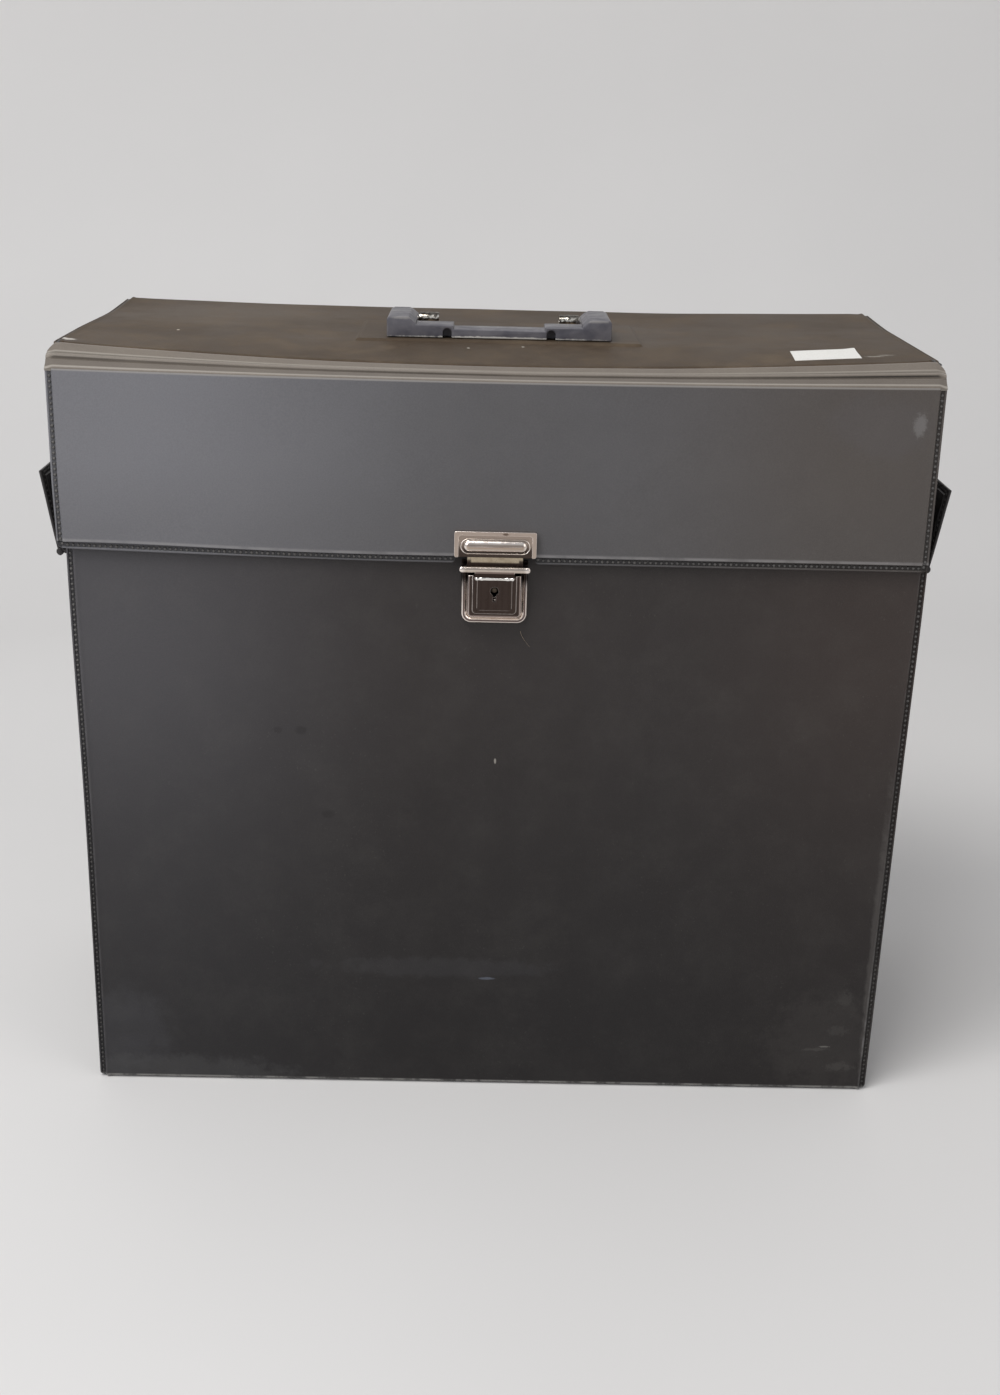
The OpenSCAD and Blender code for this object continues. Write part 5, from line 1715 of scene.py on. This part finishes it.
@dataclass
class Ear:
    """A stiffened vinyl tab on a side wall, with its wall strip and the fold between them."""

    side: Side
    fold_x: float = 177.2
    fold_z: float = 238.6
    lean: float = 11.0
    height: float = 34.0
    half_length: float = 71.0
    half_thick: float = 1.3
    edge_radius: float = 0.75
    roll: float = 1.5
    roll_top: float = 0.9
    groove: Pair = (170.0, 249.9)
    stitches: Stitching = field(default_factory=Stitching)

    @property
    def body(self) -> Body:
        """The body that the ear turns with."""
        return Body.EAR_LEFT if self.side is Side.LEFT else Body.EAR_RIGHT

    def placed(self, across: Array, along: Array, up: Array) -> Array:
        """Points of the upright ear, leant out and put on its fold."""
        turn = math.radians(self.lean)
        x = across * math.cos(turn) + up * math.sin(turn)
        z = -across * math.sin(turn) + up * math.cos(turn)
        return stacked(self.side.value * (self.fold_x + x), along, self.fold_z + z)

    def bow(self, along: Array, up: Array) -> Array:
        """How far the ear has bent sideways."""
        return 0.5 * np.sin(along / self.half_length * 2.2 + 0.4) * ease(up / self.height)

    def thickness(self, along: Array, up: Array) -> Array:
        """Half the ear's thickness, thin in its margins and round at the fold.

        Args:
            along: Places along the fold.
            up: Heights over it.

        Returns:
            Half the thickness at each.
        """
        edge = np.minimum(self.half_length - np.abs(along), self.height - up)
        pad = self.half_thick + np.clip(WELD.relief(edge), -0.62, 0)
        pad = pad * rounded(edge, self.edge_radius)
        roll = np.sqrt(np.clip(self.roll ** 2 - up ** 2, 0.0, None))
        side = rounded(self.half_length - np.abs(along), self.edge_radius)
        padded = np.maximum(pad, np.where(up < self.roll, roll, 0))
        return np.where(up < self.roll_top, roll, padded) * np.where(up < self.roll_top, side, 1)

    def build_skin(self) -> Piece:
        """The ear's vinyl, closed round its board."""
        along = ruler(-self.half_length, self.half_length, 3.4)
        rolled = -self.roll * np.cos(np.linspace(0, math.pi / 2, 6))
        up = np.unique(np.concatenate([rolled, [0.4, 0.8, 1.1, 1.4, 1.8, 2.4],
                                       ruler(4, self.height, 3.0, (False, True))]))
        half = self.thickness(along[None], up[:, None]) + 0.004
        bow = self.bow(along[None], up[:, None])
        wave = undulation(along[None], up[:, None], 0.1, 61, 18, 50) * ease(up[:, None] / 8)
        outer = self.placed(bow + half + wave, along[None], up[:, None])
        inner = self.placed(bow - half + wave, along[None], up[:, None])
        piece = shell(f"ear_skin_{self.side.word}", outer, inner, SHARP_ROUND)
        return settle(piece, EAR_VINYL, Slot.VINYL_BODY, self.body, f"ear_cover_{self.side.word}")

    def build_strip(self) -> Piece:
        """The strip welded to the side wall, rounded where it turns out to the fold."""
        ring = np.array(
            [(168.4, 252.1), (169.6, 252.1), (170.2, 251.8), (170.3, 251.3), self.groove, (170.3, 248.6),
             (170.2, 240.6), (170.4, 239.75), (171.0, 239.2), (171.8, 239.1), (174.9, 239.1), (175.3, 238.95),
             (175.4, 238.6), (175.3, 238.25), (174.9, 238.1), (168.4, 238.1)])
        along = ruler(-self.half_length, self.half_length, 8.0, (False, False))
        x = self.side.value * ring[:, 0]
        points = np.concatenate([stacked(x, np.full(len(ring), y), ring[:, 1]) for y in along])
        piece = plain_mesh(f"ear_strip_skin_{self.side.word}", points, ring_faces(len(along), len(ring)), 50)
        return settle(piece, EAR_VINYL, Slot.VINYL_BODY, Body.CASE, f"ear_strip_{self.side.word}")

    def build_fold(self) -> Piece:
        """A thin web that carries the vinyl from the strip round the fold to the ear."""
        turn = np.linspace(math.radians(200), math.radians(95), 9)
        reach = self.roll + 0.12
        round_fold = np.stack([reach * np.cos(turn), reach * np.sin(turn)], -1)[3:]
        path = np.concatenate([[[-3.4, 0.75], [-2.6, 0.72], [-2.1, 0.62]], round_fold])
        along = ruler(-self.half_length + 0.4, self.half_length - 0.4, 8.0, (False, False))
        tangent = np.gradient(path, axis=0)
        normal = np.stack([-tangent[:, 1], tangent[:, 0]], -1)
        normal /= np.linalg.norm(normal, axis=1)[:, None]
        s = self.side.value
        grids = []
        for offset in (0.18, -0.18):
            p = path + normal * offset
            grids.append(stacked(s * (self.fold_x + p[:, :1]), along[None], self.fold_z + p[:, 1:]))
        piece = shell(f"ear_fold_{self.side.word}", *grids, SHARP_ROUND)
        dress(piece, EAR_VINYL)
        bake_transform(piece)
        LOG.info("%s bends from body to ear", piece.name)
        return piece

    def mark_stitches(self) -> None:
        """Runs round three sides of both faces, and one along the wall strip."""
        low, top, end = 3.5, self.height - WELD.run, self.half_length - WELD.run
        points = dense([(-end, low), (-end, top - 1), (-end + 1, top),
                        (end - 1, top), (end, top - 1), (end, low)])
        along, up = points[:, 0], points[:, 1]
        turn = math.radians(self.lean)
        half = self.thickness(along, up) - 0.15
        for face in (1, -1):
            facing = (self.side.value * face * math.cos(turn), 0, -face * math.sin(turn))
            self.stitches.add(self.body, self.placed(self.bow(along, up) + face * half, along, up), facing)
        x, z = self.side.value * self.groove[0], self.groove[1]
        end = self.half_length - 1.5
        self.stitches.add(Body.CASE, dense([(x, -end, z), (x, end, z)]), (self.side.value, 0, 0))

    def build(self) -> None:
        """Builds and dresses the ear's pieces."""
        self.build_skin()
        self.build_strip()
        self.build_fold()
        dress_node(f"ear_board_{self.side.word}", BOARD)
        self.mark_stitches()


# ---- the handle and the lock


SHADOW_BROWN = (0.045, 0.032, 0.027)


def bracket_layers(g: Graph) -> Layers:
    """Painted dark patches that break up the glints on rumpled metal, and painted shade over the knuckle's top.
    """
    broken = g.span(g.noise(1.5, 2, 0.5), 0.44, 0.56)
    top = g.span(g.z, 328.2 * MM, 329.2 * MM)
    return (g.times(broken, 0.8), (0.07, 0.055, 0.04)), (g.times(top, 0.85), (0.06, 0.05, 0.04))


RUMPLED_STEEL = Metal(
    "rumpled_steel", (0.9, 0.86, 0.78), (0.42, 0.34, 0.24), (0.1, 0.2), 0.3, layers=bracket_layers, rumple=0.2)


@dataclass
class Handle:
    """The folding handle, its pins, brackets and rivets."""

    plastic_edge: float = 0.45
    pin_edge: float = 0.2
    bracket_edge: float = 0.14
    rivet_edge: float = 0.1

    def build(self) -> None:
        """Eases the edges of the CAD shapes and dresses them."""
        grip = bevelled_copy("handle_grip", "handle_moulding", self.plastic_edge, 3)
        settle(grip, HANDLE_PLASTIC, Slot.PLASTIC, Body.HANDLE)
        pins = bevelled_copy("handle_pins", "handle_pins_eased", self.pin_edge)
        settle(pins, DULL_STEEL, Slot.STEEL, Body.HANDLE)
        for side in Side:
            node, name = f"handle_bracket_{side.word}", f"bracket_{side.word}_pressed"
            settle(bevelled_copy(node, name, self.bracket_edge), RUMPLED_STEEL, Slot.STEEL, Body.LID)
        for node in ("bracket_rivets", "rivet_washers"):
            settle(bevelled_copy(node, f"{node}_set", self.rivet_edge), DULL_STEEL, Slot.STEEL, Body.LID)


def hasp_layers(g: Graph) -> Layers:
    """The hasp's sunk face, painted as a reflection of a dark room: tan above its bar and painted shade in dark
    brown below it, with a painted tan on the bar and a rust spot.
    """
    deep = g.span(g.y, -87.45 * MM, -87.2 * MM)
    sunk = g.times(deep, g.between(g.x, -14.6, 14.6, 0.15), g.between(g.z, 243.0, 253.1, 0.15))
    low = g.span(g.z, 250.2 * MM, 246.8 * MM)
    bar = g.times(g.span(g.y, -87.55 * MM, -87.7 * MM), g.between(g.x, -11.6, 11.6, 0.6),
                  g.between(g.z, 246.0, 249.0, 0.3))
    rust = g.blot((4.0, -87.5, 253.8), (1.6, 2, 0.7), 0.9, 1)
    return ((g.times(sunk, 0.85), (0.3, 0.24, 0.2)), (g.times(sunk, low, 0.93), SHADOW_BROWN),
            (g.times(bar, 0.6), (0.4, 0.31, 0.24)), (g.times(rust, 0.8), (0.1, 0.06, 0.04)))


def slider_layers(g: Graph) -> Layers:
    """The slider's stepped face, painted nearly black-brown as a dark reflection between its bright outer
    edges, and its neck painted dark as shade under the ledge.
    """
    inside = g.times(g.between(g.x, -9.95, 9.95, 0.12), g.between(g.z, 220.3, 236.6, 0.2))
    neck = g.times(g.between(g.x, -8.6, 8.6, 0.1), g.between(g.z, 236.2, 237.9, 0.15))
    streak = g.span(g.noise(1.6, 2, 0.4, (1, 0.02, 0.02)), 0.4, 0.65, 0.86, 0.96)
    veil = g.times(inside, 0.55)
    return (veil, SHADOW_BROWN), (g.times(inside, g.level(), streak), SHADOW_BROWN), (neck, SHADOW_BROWN)


def base_layers(g: Graph) -> Layers:
    """The base plate's upper part, in the shadow of the ledge."""
    return ((g.times(g.span(g.z, 230 * MM, 235 * MM), 0.96), (0.02, 0.014, 0.012)),)


def tongue_layers(g: Graph) -> Layers:
    """The tongue's ends and lower part, in shadow between the hasp and the ledge."""
    end = g.math("SUBTRACT", 1.0, g.between(g.x, -9.6, 9.6, 0.3))
    ends = g.times(end, g.span(g.z, 243.4 * MM, 242.2 * MM), 0.9)
    return (ends, SHADOW_BROWN), (g.span(g.z, 242.2 * MM, 241.4 * MM), SHADOW_BROWN)


def ledge_layers(g: Graph) -> Layers:
    """The ledge's middle, painted a darker tan than its round ends as a painted reflection."""
    return ((g.times(g.between(g.x, -12.2, 12.2, 0.8), 0.6), (0.42, 0.34, 0.27)),)


@dataclass
class Lock:
    """The pressed lock: hasp, tongue, base, slider, springs, cam and post."""

    edge: float = 0.16

    def build_springs(self) -> None:
        """Copies the springs, which stand between the base's stop and the slider's shelf."""
        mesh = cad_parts["lock_springs"].data.copy()
        mesh.name = "lock_springs_coiled"
        smooth_mesh(mesh, SHARP_ROUND)
        coils = link_object(mesh.name, mesh)
        dress(coils, DULL_STEEL)
        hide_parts("lock_springs")
        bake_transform(coils)
        LOG.info("lock_springs_coiled shortens from case_body to slider")

    def build_face(self, block: Metal) -> None:
        """The slider's foremost tier: a plate between a rectangle and a keyhole, met on rays from the key.

        Args:
            block: The slider's finish.
        """
        key, hole, slot, slot_low = 230.6, 1.7, 0.7, 4.2
        half, low, high = 6.95, 222.55, 236.6
        corners = [math.atan2(z - key, x) for x in (-half, half) for z in (low, high)]
        joint = math.asin(slot / hole)
        offsets = (joint, joint * 0.98, math.atan2(slot, slot_low))
        turns = [-math.pi / 2 + sign * offset for sign in (-1, 1) for offset in offsets]
        even = np.linspace(-math.pi, math.pi, 65)[:-1]
        angles = np.unique(np.round(np.concatenate([even, corners, turns]), 6))
        way = np.stack([np.cos(angles), np.sin(angles)], -1)

        def outer(inset: float) -> Array:
            """The rectangle, drawn in by an inset."""
            reach = np.full(len(angles), 1e9)
            edges = ((0, half - inset), (0, -half + inset), (1, high - inset - key), (1, low + inset - key))
            for axis, edge in edges:
                with np.errstate(divide="ignore"):
                    hit = edge / way[:, axis]
                reach = np.where((hit > 0) & (hit < reach), hit, reach)
            return way * reach[:, None]

        def keyhole(grow: float) -> Array:
            """The keyhole: a round hole with a slot under it, wider by a margin."""
            reach = np.full(len(angles), hole + grow)
            down = way[:, 1] < 0
            with np.errstate(divide="ignore"):
                side = (slot + grow) / np.abs(way[:, 0])
                end = (slot_low + grow) / -way[:, 1]
            leg = np.minimum(side, end)
            return way * np.where(down & (leg > reach), leg, reach)[:, None]

        loops = [(outer(0), -87.4), (outer(0), -88.14), (outer(0.05), -88.23), (outer(0.16), -88.27),
                 (keyhole(0.1), -88.27), (keyhole(0.03), -88.24), (keyhole(0), -88.16), (keyhole(0), -87.4)]
        points = np.concatenate([stacked(p[:, 0], np.full(len(p), y), key + p[:, 1]) for p, y in loops])
        face = plain_mesh("slider_face", points, ring_faces(len(loops), len(angles), closed=True), 30)
        level_faces(face.data, 0.3)
        settle(face, block, Slot.NICKEL, Body.SLIDER)

    def build_rolls(self, nickel: Metal, block: Metal) -> None:
        """Rounds the slider's ledge, sets the beaded lip under it and the wire round the hasp's bar."""
        ledge = Metal("nickel_ledge", nickel.colour, nickel.tarnish, nickel.rough, 0.3, layers=ledge_layers)
        roll = rounded_bar("ledge_roll", 14.35, (0, -87.95, 239.3), (0.85, 1.3),
                           lambda t: 0.96 + 0.08 * ease((np.abs(t) - 0.88) / 0.06))
        settle(roll, ledge, Slot.NICKEL, Body.SLIDER)
        lip = rounded_bar(
            "slider_lip", 7.9, (0, -88.35, 235.65), (0.5, 0.72),
            lambda t: 0.8 + 0.25 * bell(np.abs(t) - 0.66, 0.07) + 0.28 * bell(np.abs(t) - 0.93, 0.07)
            + 0.08 * bell(t + 0.3, 0.2))
        self.build_face(block)
        bright = Metal("bright_lip", (0.95, 0.92, 0.88), nickel.tarnish, nickel.rough, 0.15)
        settle(lip, bright, Slot.NICKEL, Body.SLIDER)
        wire = pill_wire("hasp_bar_outline", (13.75, 2.95), (0, -86.95, 248.6), 0.24)
        settle(wire, ledge, Slot.NICKEL, Body.FLAP)

    def build(self) -> None:
        """Eases the edges of the CAD shapes and dresses them."""
        lit, stain, rough = NICKEL.colour, NICKEL.tarnish, NICKEL.rough
        # After the tarnish amount, each nickel finish takes a flat colour that paints a dark reflection on
        # broad front faces; its layers paint shade and reflection.
        hasp = Metal("nickel_hasp", lit, stain, rough, 0.25, (0.5, 0.41, 0.35), hasp_layers)
        block = Metal("nickel_slider", lit, stain, rough, 0.3, NICKEL.flat, slider_layers)
        plate = Metal("nickel_base", lit, stain, rough, 0.3, (0.16, 0.115, 0.105), base_layers)
        tongue = Metal(
            "tongue_steel", (0.5, 0.42, 0.31), (0.3, 0.22, 0.14), (0.2, 0.36), 0.4, layers=tongue_layers)
        # Brass painted nearly black, the painted shade of the keyhole.
        keyhole_shade_brass = Metal("brass_painted_keyhole_shade", (0.1, 0.08, 0.06), (0.04, 0.03, 0.025), (0.3, 0.5), 0.5)
        pieces = (
            ("hasp_plate", "hasp_pressed", hasp, Slot.NICKEL, Body.FLAP),
            ("hasp_tongue", "hasp_tongue_eased", tongue, Slot.STEEL, Body.FLAP),
            ("hasp_rivets", "hasp_rivets_set", DULL_STEEL, Slot.STEEL, Body.FLAP),
            ("hasp_backplate", "hasp_backplate_eased", DULL_STEEL, Slot.STEEL, Body.FLAP),
            ("lock_base_plate", "lock_base_rolled", plate, Slot.NICKEL, Body.CASE),
            ("lock_slider", "lock_slider_stepped", block, Slot.NICKEL, Body.SLIDER),
            ("lock_backplate", "lock_backplate_eased", DULL_STEEL, Slot.STEEL, Body.CASE),
            ("lock_rivets", "lock_rivets_set", DULL_STEEL, Slot.STEEL, Body.CASE),
            ("key_cam", "key_cam_eased", keyhole_shade_brass, Slot.BRASS, Body.CAM),
            ("key_post", "key_post_eased", keyhole_shade_brass, Slot.BRASS, Body.CASE),
        )
        for node, name, finish, slot, body in pieces:
            settle(bevelled_copy(node, name, self.edge), finish, slot, body)
        self.build_springs()
        self.build_rolls(NICKEL, block)


# ---- what lies on the case


@dataclass
class Oddments:
    """The blank paper label on the lid and a hair under the lock."""

    corners: tuple[Pair, ...] = ((117.6, -64.0), (144.7, -61.0), (145.8, -39.0), (118.5, -45.0))
    paper: float = 0.12
    curl: float = 0.35
    hair_radius: float = 0.09

    def build_label(self) -> Piece:
        """A thin rectangle of paper that follows the lid's face."""
        a, b, c, d = (np.array(p) for p in self.corners)
        u, v = np.linspace(0, 1, 24)[None, :, None], np.linspace(0, 1, 14)[:, None, None]
        flat = (a * (1 - u) + b * u) * (1 - v) + (d * (1 - u) + c * u) * v
        z = LidPanel().top_height(flat[..., 0], flat[..., 1])
        curl = self.curl * ease((u[..., 0] - 0.8) / 0.2) * ease((v[..., 0] - 0.6) / 0.4)
        outer = stacked(flat[..., 0], flat[..., 1], z + self.paper + curl)
        inner = stacked(flat[..., 0], flat[..., 1], z - 0.02 + curl)
        return settle(shell("blank_label", outer, inner), LABEL_PAPER, Slot.LINING, Body.LID)

    def build_hair(self) -> Piece:
        """A short curved fibre that lies on the front."""
        t = np.linspace(0, 1, 22)
        x = 11.0 + 4.0 * t ** 1.5
        z = 212.0 - 6.6 * t
        y = np.full_like(t, -81.32)
        turn = full_turn(6)
        radius = (self.hair_radius * (1 - 0.6 * t))[:, None]
        points = stacked(x[:, None] + radius * np.cos(turn), y[:, None] + radius * np.sin(turn), z[:, None])
        piece = plain_mesh("lint_fibre", points.reshape(-1, 3), ring_faces(len(t), len(turn)), SHARP_ROUND)
        return settle(piece, LINT, Slot.LINING, Body.CASE)

    def build(self) -> None:
        """Builds the oddments."""
        self.build_label()
        self.build_hair()


# ---- the studio


@dataclass(frozen=True)
class Lamp:
    """A soft rectangular lamp aimed at a point, in metres and watts."""

    name: str
    place: Triple
    aim: Triple
    size: Pair
    watts: float
    colour: Colour

    def build(self) -> None:
        """Adds the lamp to the scene."""
        light = bpy.data.lights.new(self.name, "AREA")
        light.shape = "RECTANGLE"
        light.size, light.size_y = self.size
        light.energy = self.watts
        light.color = self.colour
        lamp = bpy.data.objects.new(self.name, light)
        bpy.context.scene.collection.objects.link(lamp)
        lamp.location = self.place
        lamp.rotation_euler = (Vector(self.aim) - Vector(self.place)).to_track_quat("-Z", "Y").to_euler()


LAMPS = (
    Lamp("soft_key", (-0.75, -0.95, 2.1), (0, 0, 0.16), (1.3, 0.9), 30, (1.0, 0.985, 0.97)),
    Lamp("soft_fill", (1.5, -1.2, 0.9), (0, 0, 0.16), (1.0, 1.2), 4, (1.0, 0.92, 0.85)),
    Lamp("left_glow", (-0.7, -0.7, 0.68), (-0.1, -0.08, 0.24), (0.5, 0.5), 2.4, (0.95, 0.97, 1.0)),
)


@dataclass
class Studio:
    """A pale floor and backdrop, soft lamps and the photograph's camera."""

    eye: Triple = (-4.96, -759.7, 417.5)
    yaw: float = 0.701
    pitch: float = 19.045
    roll: float = 1.39
    focal_pixels: float = 1737.4
    frame_height: float = 1395.0
    sensor: float = 36.0
    floor_colour: Colour = (0.72, 0.71, 0.7)
    sky_colour: Colour = (0.86, 0.88, 0.92)
    sky_strength: float = 0.5

    def build_camera(self) -> None:
        """The camera at the photograph's place."""
        yaw, pitch, roll = (math.radians(a) for a in (self.yaw, self.pitch, self.roll))
        ahead = Vector((math.sin(yaw) * math.cos(pitch), math.cos(yaw) * math.cos(pitch), -math.sin(pitch)))
        right = Vector((math.cos(yaw), -math.sin(yaw), 0))
        up = right.cross(ahead)
        turned_right = right * math.cos(roll) + up * math.sin(roll)
        turned_up = up * math.cos(roll) - right * math.sin(roll)
        lens = bpy.data.cameras.new("photo_camera")
        lens.sensor_width = self.sensor
        lens.lens = self.sensor * self.focal_pixels / self.frame_height
        lens.clip_start = 0.01
        lens.clip_end = 50
        camera = bpy.data.objects.new("photo_camera", lens)
        bpy.context.scene.collection.objects.link(camera)
        turn = Matrix((turned_right, turned_up, -ahead)).transposed()
        camera.matrix_world = Matrix.Translation(Vector(self.eye) * MM) @ turn.to_4x4()
        bpy.context.scene.camera = camera

    def build_stage(self) -> None:
        """A floor that curves up into a backdrop."""
        reach, near, wall, height, radius = 4.0, -3.0, 1.1, 3.2, 0.5
        turn = np.linspace(-math.pi / 2, 0, 17)
        profile = [(near, 0.0), (wall - radius, 0.0)]
        profile += [(wall - radius + radius * math.cos(a), radius + radius * math.sin(a)) for a in turn[1:]]
        profile += [(wall, height)]
        points = [(x, y, z) for y, z in profile for x in (-reach, reach)]
        faces = [(2 * i, 2 * i + 1, 2 * i + 3, 2 * i + 2) for i in range(len(profile) - 1)]
        mesh = bpy.data.meshes.new("floor_and_backdrop")
        mesh.from_pydata(points, [], faces)
        mesh.polygons.foreach_set("use_smooth", [True] * len(mesh.polygons))
        floor = link_object("floor_and_backdrop", mesh)
        g = Graph("pale_paper_floor")
        tone = g.span(g.noise(300, 2, 0.5), 0.3, 0.7)
        colour = g.mix(tone, self.floor_colour, tuple(c * 0.97 for c in self.floor_colour))
        floor.data.materials.append(g.finish(colour, 0.9, None))

    def build(self) -> None:
        """Builds the stage, the lamps, the world and the camera."""
        self.build_camera()
        self.build_stage()
        for lamp in LAMPS:
            lamp.build()
        world = bpy.data.worlds.new("pale_room")
        world.use_nodes = True
        sky = world.node_tree.nodes["Background"]
        sky.inputs["Color"].default_value = (*self.sky_colour, 1)
        sky.inputs["Strength"].default_value = self.sky_strength
        scene = bpy.context.scene
        scene.world = world
        scene.view_settings.view_transform = "Standard"


def main() -> None:
    """Builds the record case and its studio."""
    logging.basicConfig(level=logging.INFO, format="%(name)s: %(message)s")
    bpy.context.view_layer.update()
    stitches = Stitching()
    Studio().build()
    CaseBody(stitches=stitches).build()
    LidPanel(stitches=stitches).build()
    FlapPanel(stitches=stitches).build()
    for side in Side:
        Ear(side, stitches=stitches).build()
    Handle().build()
    Lock().build()
    Oddments().build()
    slots = {Body.CASE: Slot.VINYL_BODY, Body.LID: Slot.VINYL_LID, Body.FLAP: Slot.VINYL_FLAP,
             Body.EAR_LEFT: Slot.VINYL_BODY, Body.EAR_RIGHT: Slot.VINYL_BODY}
    stitches.sew("stitches", STITCH, slots)


if __name__ == "__main__":
    main()
